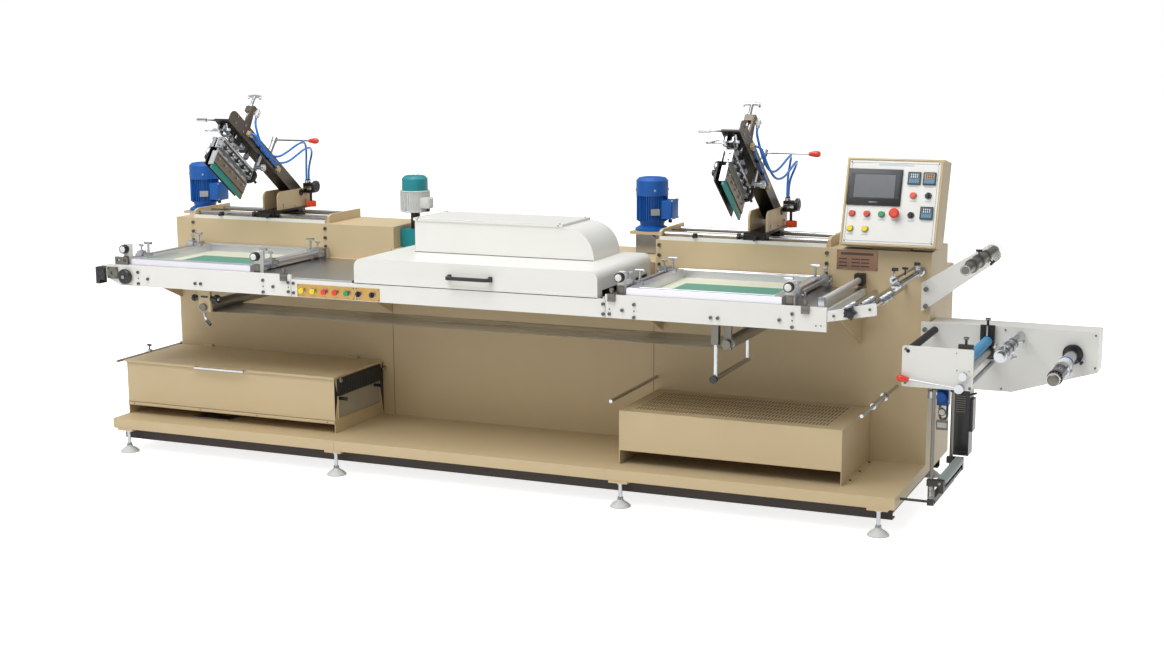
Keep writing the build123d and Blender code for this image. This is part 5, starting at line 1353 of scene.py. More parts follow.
@dataclass
class HeadDress:
    """Fittings of one swinging head, modelled level about its pivot.

    Attributes:
        station: Zero or one.
        squeegee_x: Middle of the squeegee across the arm.
        squeegee_y: Its middle along the arm.
        blade: Its length.
    """

    station: int
    squeegee_x: float = -4.0
    squeegee_y: float = -483.0
    blade: float = 264.0
    hoses: tuple[tuple[float, tuple[Triple, ...]], ...] = (
        (690.0, (
            (39, 453.9, 1493.3), (39, 438.3, 1472.5), (56, 430, 1420), (66, 442, 1372),
            (74, 486, 1324), (82, 550, 1304), (92, 616, 1326), (98, 690, 1356), (92, 762, 1364),
            (74, 806, 1330), (59, 826, 1270), (57, 826, 1218), (57, 826, 1180))),
        (686.0, (
            (48, 390.7, 1420.9), (74, 390.7, 1420.9), (86, 404, 1376), (92, 448, 1326),
            (100, 512, 1282), (110, 582, 1280), (118, 650, 1308), (120, 716, 1334),
            (112, 782, 1336), (90, 830, 1306), (64, 847, 1258), (57, 846, 1216),
            (57, 846, 1180))),
    )

    def build(self) -> None:
        """Models every fitting of the head."""
        self.arm()
        self.squeegee()
        self.flood()
        self.carriage()
        for number, (length, route) in enumerate(self.hoses, 1):
            HoseRun(self.station, number, route, length).build()

    def hang(self, piece: Workpiece, part: str) -> None:
        """Lets fittings that were modelled level ride on a part of this head."""
        name = f"{part}_{self.station + 1}"
        piece.settle(f"{name}_dress", name, head_frame(self.station))

    def arm(self) -> None:
        """Clamp screw's curved handle, fittings, the hose along the arm and small screws."""
        y = -508.0
        handle = Workpiece.wire(((-34, y, 180), (-28, y, 192), (-10, y, 197), (10, y, 197),
                                 (28, y, 192), (34, y, 180)), 5.0).paint(CHROME)
        threads = Workpiece.ring(Axis.Z, (0, y, 144), 6.6, 0.9, 18)
        threads.row(Axis.Z, 4.0, 11).paint(STEEL)
        nut = Workpiece.rod(Axis.Z, (132, 141), (0, y), 13, sides=6).soften(1, 1).paint(STEEL)
        collar = Workpiece.rod(Axis.Z, (84, 92), (39, -495), 6.5, sides=16).soften(1, 1)
        collar.paint(STEEL)
        barb = Workpiece.rod(Axis.X, (46, 52), (-495, 112), 5, 3, sides=14)
        barb.merge(Workpiece.rod(Axis.Z, (124, 131), (39, -495), 6, 4, sides=14)).paint(STEEL)
        line = Workpiece.wire(((38.5, -478, -4), (38.5, -440, -6), (38.5, -400, -8),
                               (38.5, -330, -10), (38.5, -270, -9), (38.5, -230, -9)),
                              4.5).paint(HOSE_BLUE)
        low_line = Workpiece.wire(((38.5, -492, -4), (38.5, -484, -4), (38.5, -478, -4)), 5.5)
        low_line.paint(WHITE_PLASTIC)
        clips = Workpiece.block((32, 45), (-408, -398), (-15, -1)).soften(2, 2)
        clips.merge(clips.twin((0, 92, -1))).paint(BLACK)
        screws = socket_screw(Axis.X, 32, (-540, 16), 4.5)
        screws.repeat([(0, -70, 0), (0, -70, -34), (0, 0, -34)]).paint(STEEL)
        pad = Workpiece.rod(Axis.X, (72, 76), (-360, -92), 12, 9, sides=24).paint(ALUMINIUM)
        rim = Workpiece.ring(Axis.X, (64, -360, -92), 14.6, 1.2, 28).paint(ALUMINIUM)
        rim.merge(rim.twin((5, 0, 0)))
        springs = coil_spring((self.squeegee_x, self.squeegee_y - 70, -60), 12.0, 19.0, 5)
        springs.merge(springs.twin((0, 140, 0))).paint(STEEL)
        handle.merge(threads, nut, collar, barb, line, low_line, clips, screws, pad, rim,
                     springs, self.linkage())
        self.hang(handle, "arm")

    @staticmethod
    def linkage() -> Workpiece:
        """Models the chrome levers that hang below the arm's nose.

        Returns:
            The linkage.
        """
        strap = Workpiece.wire(((-30, -634, -44), (-34, -622, -66), (-22, -600, -78),
                                (-6, -586, -73), (4, -576, -58)), 5.5)
        second = Workpiece.wire(((12, -640, -40), (14, -622, -62), (10, -596, -66),
                                 (4, -570, -56)), 4.5)
        pins = Workpiece.rod(Axis.X, (-38, -28), (-618, -60), 9, 7).soften(1, 1)
        pins.merge(Workpiece.rod(Axis.X, (12, 24), (-618, -60), 9, 7).soften(1, 1))
        bolt = Workpiece.rod(Axis.Z, (-62, -38), (-20, -560), 7, sides=6).soften(0.8, 1)
        bolt.merge(bolt.twin((34, 8, 0)))
        grip = Workpiece.wire(((-62, -603, -48), (-78, -606, -52), (-92, -612, -62),
                               (-104, -612, -66), (-112, -604, -58)), 4.5)
        return strap.merge(second, pins, bolt, grip).paint(CHROME)

    def squeegee(self) -> None:
        """Fluted knobs, handwheel rim, rail lips and end plates of the squeegee."""
        x = self.squeegee_x
        start = self.squeegee_y - self.blade / 2
        end = start + self.blade
        step = self.blade / 5
        first = start + 0.4 * step
        knob = star_knob(Axis.X, (x + 20, x + 31), (first, -139), 11.0)
        knob.row(Axis.Y, step, 5).paint(BLACK)
        cap = Workpiece.rod(Axis.X, (x + 31, x + 33), (first, -139), 5, 3.5, sides=16)
        cap.row(Axis.Y, step, 5).paint(CHROME)
        rim = Workpiece.ring(Axis.Y, (x, end + 13, -127), 31.5, 3.4, 40).paint(BLACK)
        hub = Workpiece.rod(Axis.Y, (end + 20, end + 28), (x, -127), 11, 8, sides=20)
        hub.soften(1, 2).paint(STEEL)
        crank = Workpiece.rod(Axis.Y, (end + 20, end + 44), (x + 18, -140), 5, 6.5, sides=16)
        crank.soften(1, 2).paint(BLACK)
        lips = Workpiece.block((x + 15, x + 18), (start, end), (-112, -99)).soften(1, 2)
        lips.merge(lips.twin((0, 0, -39))).paint(ALUMINIUM)
        ends = Workpiece.block((x - 17, x + 17), (start - 5, start), (-152, -97))
        ends.shape((0, -1, 0), 4, -2).soften(1, 1)
        ends.merge(Workpiece.block((x - 17, x + 17), (end, end + 4), (-152, -97)).soften(1, 1))
        ends.paint(STEEL)
        bolts = socket_screw(Axis.Y, start - 5, (x, -110), 4, -1)
        bolts.repeat([(0, 0, -30)]).paint(STEEL)
        edge = Workpiece.block((x + 8, x + 9.5), (start, end), (-181, -179.5)).paint(BLACK)
        socket = socket_screw(Axis.X, x + 11, (first, -198), 5.0)
        socket.row(Axis.Y, step, 5).paint(STEEL)
        knob.merge(cap, rim, hub, crank, lips, ends, bolts, edge, socket)
        self.hang(knob, "squeegee")

    def flood(self) -> None:
        """Fluted clamp knobs and the end hooks of the flood bar."""
        x = -40.0
        start = self.squeegee_y - self.blade / 2 - 4
        step = (self.blade + 8) / 10
        knob = star_knob(Axis.X, (x - 20, x - 10), (start + step / 2, -196), 12.5, 5)
        knob.row(Axis.Y, step, 10).paint(BLACK)
        strip = Workpiece.block((x - 7, x - 3), (start, start + self.blade + 8),
                                (-216, -176)).shape((-1, 0, 0), 3, 1.5).soften(1, 1)
        strip.paint(CHARCOAL)
        hook = Workpiece.wire(((x, start - 1, -150), (x - 8, start - 10, -162),
                               (x - 12, start - 12, -180), (x - 4, start - 3, -192)), 3.2)
        hook.paint(CHROME)
        self.hang(knob.merge(strip, hook), "flood_bar")

    def carriage(self) -> None:
        """Valve silencers, port caps, cheek screws and a lobed release knob."""
        x = HEAD_X[self.station]
        side = x + 43
        screws = socket_screw(Axis.X, side, (640, 1080), 4.5)
        screws.repeat([(0, 200, 0), (0, 0, -10), (0, 100, -12)]).paint(STEEL)
        ports = Workpiece.rod(Axis.Z, (1164, 1176), (side + 14, 826), 9.5, sides=6).soften(1, 1)
        ports.repeat([(0, 20, 0)]).paint(CHROME)
        band = Workpiece.block((side + 2, side + 46), (812, 861), (1132, 1150)).soften(2, 2)
        band.paint(CHROME)
        disc = Workpiece.ring(Axis.X, (side + 58, 836, 1148), 25, 3.0, 36).paint(BLACK)
        face = Workpiece.rod(Axis.X, (side + 64, side + 66.5), (836, 1148), 19, 17, sides=30)
        face.shape((1, 0, 0), 3, -1).paint(CHARCOAL)
        release = star_knob(Axis.Z, (1052, 1076), (side + 29, 836), 27, 3).paint(ORANGE)
        low = Workpiece.block((x - 46, x + 46), (548, 562), (1018, 1050))
        low.shape((0, -1, 0), 6, -3).soften(2, 2).paint(CHARCOAL)
        clamp = Workpiece.rod(Axis.X, (x - 66, x - 48), (575, 1036), 7, sides=16).soften(1, 1)
        clamp.merge(star_knob(Axis.X, (x - 80, x - 66), (575, 1036), 14)).paint(BLACK)
        name = f"carriage_{self.station + 1}"
        screws.merge(ports, band, disc, face, release, low, clamp).settle(f"{name}_dress", name)


@dataclass
class PanelDress:
    """Everything on the operator panel's face, drawn flat: across, up the face and outward.

    Attributes:
        size: Width and height of the panel.
        screen: Limits of the touch screen across and up.
        meters: Middles of the three meters.
        buttons: Middles of the round buttons and selectors.
        stop: Middle of the emergency stop.
        face: Height of the face plate over the housing.
    """

    size: Pair = (385.0, 357.0)
    screen: tuple[float, float, float, float] = (14.0, 227.0, 164.0, 310.0)
    meters: tuple[Pair, ...] = ((274.0, 278.0), (334.0, 278.0), (335.0, 140.0))
    buttons: tuple[Pair, ...] = ((158.0, 129.0), (100.0, 129.0), (276.0, 209.0), (38.0, 68.0),
                                 (98.0, 68.0), (274.0, 130.0), (335.0, 210.0), (40.0, 129.0))
    stop: Pair = (212.0, 131.0)
    face: float = 2.0

    def build(self) -> None:
        """Models the face's fittings."""
        pieces = [self.touch_screen(), self.trim(), self.labels(), self.collars()]
        pieces += [self.meter(u, v, AMBER if number == 1 else BLUE_GREY)
                   for number, (u, v) in enumerate(self.meters)]
        pieces[0].merge(*pieces[1:]).settle("control_panel_dress", "machine", panel_frame())

    def touch_screen(self) -> Workpiece:
        """Models the screen's bezel, glass and lower strip.

        Returns:
            The touch screen.
        """
        u0, u1, v0, v1 = self.screen
        bezel = Workpiece.block((u0 - 1, u1 + 1), (v0 - 1, v1 + 1), (self.face, 9.4))
        bezel.soften(2.5, 3).paint(BLACK)
        side = Workpiece.block((u0 + 7, u1 - 7), (v0 + 26, v1 - 18), (9.0, 9.9)).soften(0.4, 1)
        side.paint(DISPLAY)
        glass = Workpiece.block((u0 + 25, u1 - 25), (v0 + 30, v1 - 22), (9.4, 10.5))
        glass.soften(0.5, 1).paint(SCREEN_GREY)
        strip = Workpiece.block(((u0 + u1) / 2 - 18, (u0 + u1) / 2 + 18), (v0 + 9, v0 + 14),
                                (9.2, 9.8)).soften(1.5, 2).paint(SCREEN_GREY)
        return bezel.merge(side, glass, strip)

    def meter(self, u: float, v: float, tone: Finish) -> Workpiece:
        """Models one square meter with its window, digits and keys.

        Args:
            u: Its middle across.
            v: Its middle up the face.
            tone: Finish of the window.

        Returns:
            The meter.
        """
        case = Workpiece.block((u - 25, u + 25), (v - 25, v + 25), (self.face, 9.6))
        case.shape((0, 0, 1), 3.5, -1.2).soften(0.8, 1).paint(BLACK)
        plate = Workpiece.block((u - 21, u + 21), (v - 21, v + 21), (8.2, 9.0)).paint(BLUE_GREY)
        window = Workpiece.block((u - 18, u + 18), (v - 1, v + 19), (8.8, 9.8)).soften(0.8, 1)
        window.paint(tone if tone is AMBER else DISPLAY)
        digit = Workpiece.block((u - 14, u - 9), (v + 10, v + 17), (9.6, 10.2))
        digit.repeat([(8 * i, -9 * j, 0) for i in range(4) for j in range(2) if i or j])
        digit.paint(DISPLAY if tone is AMBER else LABEL)
        key = Workpiece.block((u - 18, u - 11), (v - 17, v - 10), (8.8, 10.2)).soften(1, 2)
        key.row(Axis.X, 9.7, 4).paint(BLUE_RUBBER)
        return case.merge(plate, window, digit, key)

    def trim(self) -> Workpiece:
        """Models the housing's rounded lip, the face's fine border line and its corner screws.

        Returns:
            The trim.
        """
        wide, high = self.size
        lip = Workpiece.wire(self.outline(6.0, 4.0, 0.0), 5.0, smooth=False).paint(BEIGE)
        line = Workpiece.wire(self.outline(20.0, 8.0, 2.2), 0.7, smooth=False).paint(BLUE_GREY)
        spots = [(a, b) for a in (19, wide - 19) for b in (19, high - 19)]
        return lip.merge(line, screw_group(Axis.Z, self.face, spots, 3.2))

    def outline(self, near: float, notch: float, level: float) -> list[Triple]:
        """Lists the corners of a line round the panel whose own corners are cut off.

        Args:
            near: Its distance from the panel's edge.
            notch: How much is cut off each corner.
            level: Its height over the housing.

        Returns:
            The corners, ending with the first.
        """
        wide, high = self.size
        right, top = wide - near, high - near
        spots = ((near, near + notch), (near, top - notch), (near + notch, top),
                 (right - notch, top), (right, top - notch), (right, near + notch),
                 (right - notch, near), (near + notch, near), (near, near + notch))
        return [(u, v, level) for u, v in spots]

    def labels(self) -> Workpiece:
        """Models the bare label strips under the controls and the bare title strip.

        Returns:
            The strips.
        """
        title = Workpiece.block((128, 268), (326, 334), (self.face, 2.4))
        strips = [Workpiece.block((u - 13, u + 13), (v - 25, v - 20), (self.face, 2.4))
                  for u, v in (*self.buttons[:7], self.stop)]
        strips += [Workpiece.block((u - 18, u + 18), (v - 35, v - 30), (self.face, 2.4))
                   for u, v in self.meters]
        return title.merge(*strips).soften(0.15, 1).paint(LABEL)

    def collars(self) -> Workpiece:
        """Models the rings that hold the buttons, and the lamp's lens ring.

        Returns:
            The rings.
        """
        rings = [Workpiece.ring(Axis.Z, (u, v, self.face + 0.9), 13.2, 1.5)
                 for u, v in self.buttons]
        big = Workpiece.ring(Axis.Z, (*self.stop, self.face + 1), 15.5, 1.8)
        return big.merge(*rings).paint(STEEL)


@dataclass
class RailDress:
    """Screws, seams, button collars and end fittings of the white front rail.

    Attributes:
        front: The rail's front face.
        screws: Places of the large screws along and up.
        pins: Places of the small pins.
        buttons: Places along the rail of its buttons and selectors.
        knob: The black end disc, along and up.
    """

    front: float = -70.0
    screws: tuple[Pair, ...] = (
        (233, 842), (233, 792), (284, 815), (531, 809), (559, 809), (875, 842), (875, 792),
        (925, 817), (1000, 839), (1000, 800), (1025, 837), (1025, 797), (2555, 838),
        (2555, 788), (2506, 813), (2866, 807), (2894, 807), (3135, 815), (3184, 841),
        (3184, 791), (2427, 833), (2427, 794), (2453, 796))
    pins: tuple[Pair, ...] = ((233, 815), (875, 816), (1000, 819), (2555, 812), (3184, 815),
                              (2453, 815), (3275, 802), (3294, 803), (140, 795))
    buttons: tuple[float, ...] = (1068, 1121, 1175, 1228, 1283, 1338, 1403)
    knob: Pair = (172.0, 821.0)

    def build(self) -> None:
        """Models the rail's fittings."""
        f = self.front
        screws = screw_group(Axis.Y, f, self.screws, 6.8, -1)
        pins = screw_group(Axis.Y, f, self.pins, 2.8, -1)
        collars = Workpiece.ring(Axis.Y, (self.buttons[0], f - 2.8, 809), 13, 1.4)
        along = [(x - self.buttons[0], 0, 0) for x in self.buttons[1:]]
        collars.repeat(along).paint(STEEL)
        plate_screws = screw_group(
            Axis.Y, f - 2, [(x, z) for x in (1048, 1314, 1328, 1432) for z in (788, 831)], 2.4, -1)
        tags = Workpiece.block((self.buttons[0] - 11, self.buttons[0] + 11), (f - 2.5, f - 2),
                               (787, 791))
        tags.repeat(along).paint(COPPER)
        seams = Workpiece.block((1011.2, 1012.8), (f - 0.5, f + 0.5), (781, 852))
        seams.merge(Workpiece.block((2434.2, 2435.8), (f - 0.5, f + 0.5), (781, 852)))
        seams.paint(SHADOW)
        x, z = self.knob
        rim = Workpiece.ring(Axis.Y, (x, f - 19, z), 31.5, 2.0, 40).paint(BLACK)
        hub = socket_screw(Axis.Y, f - 25, (x, z), 7, -1).paint(STEEL)
        dots = screw_group(Axis.Y, f - 25, ((x - 17, z - 14), (x + 17, z - 14), (x, z + 21)),
                           2.8, -1)
        square = screw_group(Axis.Y, f - 8, [(a, b) for a in (80, 120) for b in (815, 852)],
                             3.5, -1)
        tab = screw_group(Axis.Y, f, ((125, 888), (165, 888)), 4.5, -1)
        block = Workpiece.block((14, 58), (f - 8, f - 3.5), (800, 850)).shape((0, -1, 0), 5, -1.5)
        block.soften(1, 1).paint(BLACK)
        bolts = screw_group(Axis.Y, f - 8, [(a, b) for a in (22, 50) for b in (812, 838)], 3, -1)
        clamps = screw_group(Axis.Y, f - 10, [(x + a, 858) for x in (979, 2463, 3234)
                                              for a in (-7, 7)], 3, -1)
        screws.merge(pins, collars, plate_screws, tags, seams, rim, hub, dots, square, tab,
                     block, bolts, clamps, self.bracket())
        screws.settle("side_rails_dress", "machine")

    def bracket(self) -> Workpiece:
        """Models the knobs and the small lever of the hanging bracket under the rail.

        Returns:
            The fittings.
        """
        low = -34.0
        left = star_knob(Axis.X, (482, 497), (-23, 738), 15, 8).paint(BLACK)
        right = star_knob(Axis.X, (597, 614), (-23, 738), 19, 8).paint(BLACK)
        caps = Workpiece.rod(Axis.X, (614, 617), (-23, 738), 9, 7).paint(CHROME)
        caps.merge(Workpiece.rod(Axis.X, (479, 482), (-23, 738), 7, 9).paint(CHROME))
        lever = Workpiece.wire(((545, low, 676), (549, low - 4, 660), (562, low - 9, 644),
                                (576, low - 12, 634)), 5.0).paint(CHROME)
        grip = Workpiece.wire(((562, low - 9, 644), (572, low - 11, 637), (584, low - 14, 628)),
                              7.5).paint(BLACK)
        tag = Workpiece.block((527, 563), (-31.4, -30.2), (742, 750)).soften(0.3, 1).paint(BLACK)
        return left.merge(right, caps, lever, grip, tag)


@dataclass
class ScreenDress:
    """Mesh with its stencil, frame lips and clamp fittings of one printing screen.

    Attributes:
        number: One or two.
        x: Left edge of the frame.
        width: Its width.
        y: Its front and back.
        bar: Width of a frame bar.
        low: Under side of the frame.
        high: Its top.
    """

    number: int
    x: float
    width: float = 620.0
    y: Pair = (-56.0, 531.0)
    bar: float = 40.0
    low: float = 866.0
    high: float = 897.0

    def build(self) -> None:
        """Models the mesh and the fittings."""
        self.mesh()
        x0, x1 = self.x, self.x + self.width
        y0, y1 = self.y
        b = self.bar
        lips = []
        for inset in (2.0, b - 2.0):
            a, c, d, e = x0 + inset, x1 - inset, y0 + inset, y1 - inset
            z = self.high
            lips.append(Workpiece.wire(((a, d, z), (c, d, z), (c, e, z), (a, e, z), (a, d, z)),
                                       1.8, smooth=False))
        lips[0].merge(lips[1]).paint(FRAME_BAR)
        miters = [Workpiece.block((-0.5, 0.5), (0, b * 1.36), (self.high - 0.2, self.high + 0.3))
                  for _ in range(4)]
        for cut, (cx, cy, turn) in zip(miters, ((x0 + 1, y0 + 1, -45), (x1 - 1, y0 + 1, 45),
                                                (x1 - 1, y1 - 1, 135), (x0 + 1, y1 - 1, -135))):
            cut.turned(Axis.Z, turn)
            cut.obj.data.transform(Matrix.Translation(Vector((cx, cy, 0)) * MM))
        miters[0].merge(*miters[1:]).paint(ALUMINIUM)
        lips[0].merge(miters[0], self.clamp_side(-1, x0), self.clamp_side(1, x1))
        lips[0].settle(f"screen_frame_{self.number}_dress", "machine")

    def clamp_side(self, side: int, edge: float) -> Workpiece:
        """Models the knob cap, scale, springs and wing screws of one slide bar.

        Args:
            side: Minus one at the left of the frame, one at its right.
            edge: The frame's edge there.

        Returns:
            The fittings.
        """
        x = edge + side * 28
        grip_x = edge - side * 10
        cap = Workpiece.rod(Axis.Y, (-74, -71), (x, 938), 13, 14.5, sides=24).soften(0.8, 1)
        cap.paint(WHITE_PLASTIC)
        grooves = Workpiece.ring(Axis.Y, (x, -66, 938), 18, 1.3, 28)
        grooves.row(Axis.Y, 5, 4).paint(BLACK)
        plate = Workpiece.block((x - 15, x + 15), (-48, -45), (862, 905)).shape((0, -1, 0), 3, 1)
        plate.soften(0.8, 1).paint(GUNMETAL)
        dark = [cap, grooves, plate]
        for y in (62.0, 440.0):
            wing = wing_screw(Axis.Z, 915, (x, y), 26)
            wing.merge(wing_screw(Axis.X, x + side * 14, (y, 892), 14, side))
            nut = Workpiece.rod(Axis.Z, (913, 921), (x, y), 8, sides=6).soften(0.8, 1)
            thread = Workpiece.ring(Axis.Z, (grip_x, y, 915), 5.4, 0.8, 14)
            thread.row(Axis.Z, 4.0, 8)
            grip = Workpiece.wire(((grip_x - 20, y, 955), (grip_x - 10, y, 953),
                                   (grip_x + 10, y, 953), (grip_x + 20, y, 955)), 4.2)
            block = Workpiece.block((x - 11, x + 11), (y + 20, y + 44), (885, 903)).soften(2, 2)
            dark += [wing.paint(STEEL), nut.paint(STEEL), thread.paint(STEEL),
                     grip.paint(CHROME), block.paint(GUNMETAL)]
        return dark[0].merge(*dark[1:])

    def mesh(self) -> None:
        b = self.bar
        wide, long = self.width - 2 * b, self.y[1] - self.y[0] - 2 * b
        at = place(self.x + self.width / 2, sum(self.y) / 2, self.low + 0.3)
        sheet = flat_grid(at, (wide * MM, long * MM), (27, 25))
        sheet.name = f"screen_mesh_{self.number}"
        for finish in (SCREEN_MESH, STENCIL):
            sheet.data.materials.append(PALETTE.material(finish))
        for polygon in sheet.data.polygons:
            off = polygon.center - at
            inside = abs(off.x) < wide * MM * 0.4 and -0.42 < off.y / (long * MM) < 0.22
            polygon.material_index = int(inside)
        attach(sheet, "machine")
        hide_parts("screen_meshes")
        LOG.info("built %s", sheet.name)


@dataclass
class WebDress:
    """The glossy label film that runs back under the table.

    Attributes:
        x: Its ends on the two rollers.
        y: Its edges.
        z: Its height.
        ripple: Height of the faint waves across it.
    """

    x: Pair = (545.0, 2920.0)
    y: Pair = (0.0, 254.0)
    z: float = 677.0
    ripple: float = 0.9

    def build(self) -> None:
        wide, long = self.x[1] - self.x[0], self.y[1] - self.y[0]
        at = place(sum(self.x) / 2, sum(self.y) / 2, self.z)
        film = flat_grid(at, (wide * MM, long * MM), (90, 24))
        for vertex in film.data.vertices:
            along = (vertex.co.x - at.x) / (wide * MM)
            across = (vertex.co.y - at.y) / (long * MM)
            calm = 1 - (2 * along) ** 4
            wave = math.sin(9 * across + 4 * along) + 0.6 * math.sin(17 * across - 7 * along)
            vertex.co.z += self.ripple * MM * calm * wave
        film.name = "return_film"
        film.data.materials.append(PALETTE.material(WEB_FILM))
        bpy.ops.object.shade_smooth()
        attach(film, "machine")
        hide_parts("return_web")
        LOG.info("built %s", film.name)


@dataclass
class CabinetDress:
    """Seams, beam screws and the bare copper plate of the cabinet and its beams.

    Attributes:
        front: The cabinet's front face.
        seams: Where the cabinet's panels meet along the machine.
        screws: Screws along the beams, along and up.
    """

    front: float = 539.0
    seams: tuple[float, ...] = (1152.0, 2407.0)
    screws: tuple[Pair, ...] = tuple(
        (x, z) for x in (94.0, 813.0, 2430.0, 3148.0) for z in (991.0, 949.0, 910.0))

    def build(self) -> None:
        """Models the fittings of the cabinet and beams."""
        f = self.front
        lines = [Workpiece.block((x - 0.9, x + 0.9), (f - 0.6, f + 0.5), (156, 914))
                 for x in self.seams]
        lines[0].merge(*lines[1:]).paint(SHADOW)
        high = [(x, z) for x, z in self.screws if z > 916]
        low = [(x, z) for x, z in self.screws if z < 916]
        screws = screw_group(Axis.Y, f - 0.2, high, 7.5, -1)
        screws.merge(screw_group(Axis.Y, f - 0.2, low, 6.5, -1))
        plate = Workpiece.block((3189, 3356), (f - 2.2, f), (928, 1008))
        plate.shape((0, -1, 0), 3, -0.5).soften(0.4, 1).paint(COPPER)
        strips = Workpiece.block((3206, 3338), (f - 2.3, f - 1.6), (988, 998))
        bars = Workpiece.block((3198, 3232), (f - 2.3, f - 1.6), (941, 946))
        bars.repeat([(dx, 0, dz) for dx in (0, 52, 90) for dz in (0, 14, 28) if dx or dz])
        strips.merge(bars).paint(BRONZE)
        rivets = screw_group(Axis.Y, f - 2.2, [(a, b) for a in (3194, 3351)
                                               for b in (933, 1003)], 2.2, -1)
        fitting = Workpiece.rod(Axis.Y, (f - 16, f), (1010, 208), 9, 11, sides=20).soften(1, 2)
        fitting.paint(GUNMETAL)
        lines[0].merge(screws, plate, strips, rivets, fitting)
        lines[0].settle("cabinet_dress", "machine")


@dataclass
class HoodDress:
    """Painted shade of the slit under the hood, lid screws, seams and handle feet of the dryer
    hood.

    Attributes:
        x: The hood's ends.
        front: Its front face.
        low: Its lower edge.
        handle: Where the handle's ends stand.
        heater: The heater box's ends.
    """

    x: Pair = (1318.0, 2402.0)
    front: float = -70.0
    low: float = 852.3
    handle: Pair = (1754.0, 1950.0)
    heater: Pair = (1460.0, 2135.0)

    def build(self) -> None:
        """Models the hood's fittings; they swing with it."""
        f = self.front
        # Painted shade: a thin black strip along the hood's lower edge stands for the dark slit
        # between the hood and the rail.
        slit_shade = Workpiece.block((self.x[0] + 1, self.x[1] - 1), (f - 0.6, f + 2),
                               (self.low, self.low + 2.6)).soften(0.3, 1).paint(BLACK_RUBBER_AND_SHADE)
        hem = Workpiece.block((self.x[0], self.x[1]), (f - 1.2, f + 1),
                              (self.low + 2.8, self.low + 14)).soften(0.8, 2).paint(WHITE)
        foot = Workpiece.block((self.handle[0] - 2, self.handle[0] + 16), (f - 7, f + 0.5),
                               (891, 913)).soften(2.5, 2)
        foot.merge(foot.twin((self.handle[1] - self.handle[0] - 14, 0, 0))).paint(BLACK)
        bolts = screw_group(Axis.Y, f - 7, ((self.handle[0] + 7, 902),
                                            (self.handle[1] - 7, 902)), 3.2, -1)
        h0, h1 = self.heater
        lid = screw_group(Axis.Z, 1100, [(x, y) for x in (h0 + 12, h1 - 12)
                                         for y in (208, 473)], 3.4)
        front = screw_group(Axis.Y, 195, ((h0 + 14, 1095), (h1 - 14, 1095)), 2.6, -1)
        seam = Workpiece.block((h0 - 1, h1 + 138), (198.6, 200.4), (957.5, 959.5)).paint(SHADOW)
        edge = Workpiece.wire(((h0 - 5, 195, 1100), (h1 + 5, 195, 1100), (h1 + 5, 486, 1100),
                               (h0 - 5, 486, 1100), (h0 - 5, 195, 1100)), 1.2,
                              smooth=False).paint(WHITE)
        slit_shade.merge(hem, foot, bolts, lid, front, seam, edge)
        slit_shade.settle("dryer_hood_dress", "dryer_hood")


@dataclass
class BoxDress:
    """Seams, window frame and fittings of the lidded box, and its lid's handle feet.

    Attributes:
        x: The box's ends.
        front: Its front face.
        top: Height of the lid.
    """

    x: Pair = (4.0, 1095.0)
    front: float = 113.0
    top: float = 405.0

    def build(self) -> None:
        """Models the fittings on the box and on its lid."""
        x0, x1 = self.x
        f = self.front
        hem = Workpiece.block((x0 + 1, x1 - 1), (f - 6.2, f - 4), (199, 211)).soften(0.8, 2)
        hem.paint(BEIGE)
        line = Workpiece.block((x0 + 0.5, x1 - 0.5), (f - 5.6, f - 4.4), (211.4, 212.8))
        line.paint(SHADOW)
        rivets = screw_group(Axis.Y, f - 5, [(x, 205) for x in (40, 400, 700, 1060)], 3, -1)
        ring = Workpiece.ring(Axis.X, (x1 + 14, 148, 385), 8.5, 1.6, 24).paint(CHROME)
        toggle = star_knob(Axis.X, (x1 + 26, x1 + 36), (158, 303), 9, 5)
        toggle.merge(star_knob(Axis.X, (x1 + 26, x1 + 36), (462, 303), 9, 5)).paint(BLACK)
        frame = Workpiece.wire(((x1 + 1, 140, 215), (x1 + 1, 500, 215), (x1 + 1, 500, 318),
                                (x1 + 1, 140, 318), (x1 + 1, 140, 215)), 3,
                               smooth=False).paint(BEIGE)
        folds = Workpiece.rod(Axis.Z, (319, 391), (x1 + 9.5, 150), 2.6, sides=10)
        folds.row(Axis.Y, 14, 25).paint(BLACK_RUBBER_AND_SHADE)
        collars = Workpiece.ring(Axis.Y, (-18, 305, 401), 13, 1.6, 20)
        collars.row(Axis.Y, 6, 3).paint(STEEL)
        wing = wing_screw(Axis.Z, 413, (-18, 311), 22).paint(BLACK)
        hem.merge(line, rivets, ring, toggle, frame, folds, collars, wing)
        hem.settle("lidded_box_dress", "machine")
        self.lid()

    def lid(self) -> None:
        """Models the lid's rolled edge and the feet of its handle."""
        x0, x1 = self.x
        y = self.front - 8.6
        edge = Workpiece.wire(((x0 - 3, 515, self.top - 1.4), (x0 - 3, y, self.top - 1.4),
                               (x1 + 3, y, self.top - 1.4), (x1 + 3, 515, self.top - 1.4)),
                              1.6, smooth=False).paint(BEIGE)
        foot = Workpiece.block((386, 400), (y - 4, y + 0.5), (self.top - 11, self.top)).soften(1, 2)
        foot.merge(foot.twin((250, 0, 0))).paint(CHROME)
        edge.merge(foot).settle("box_lid_dress", "box_lid")


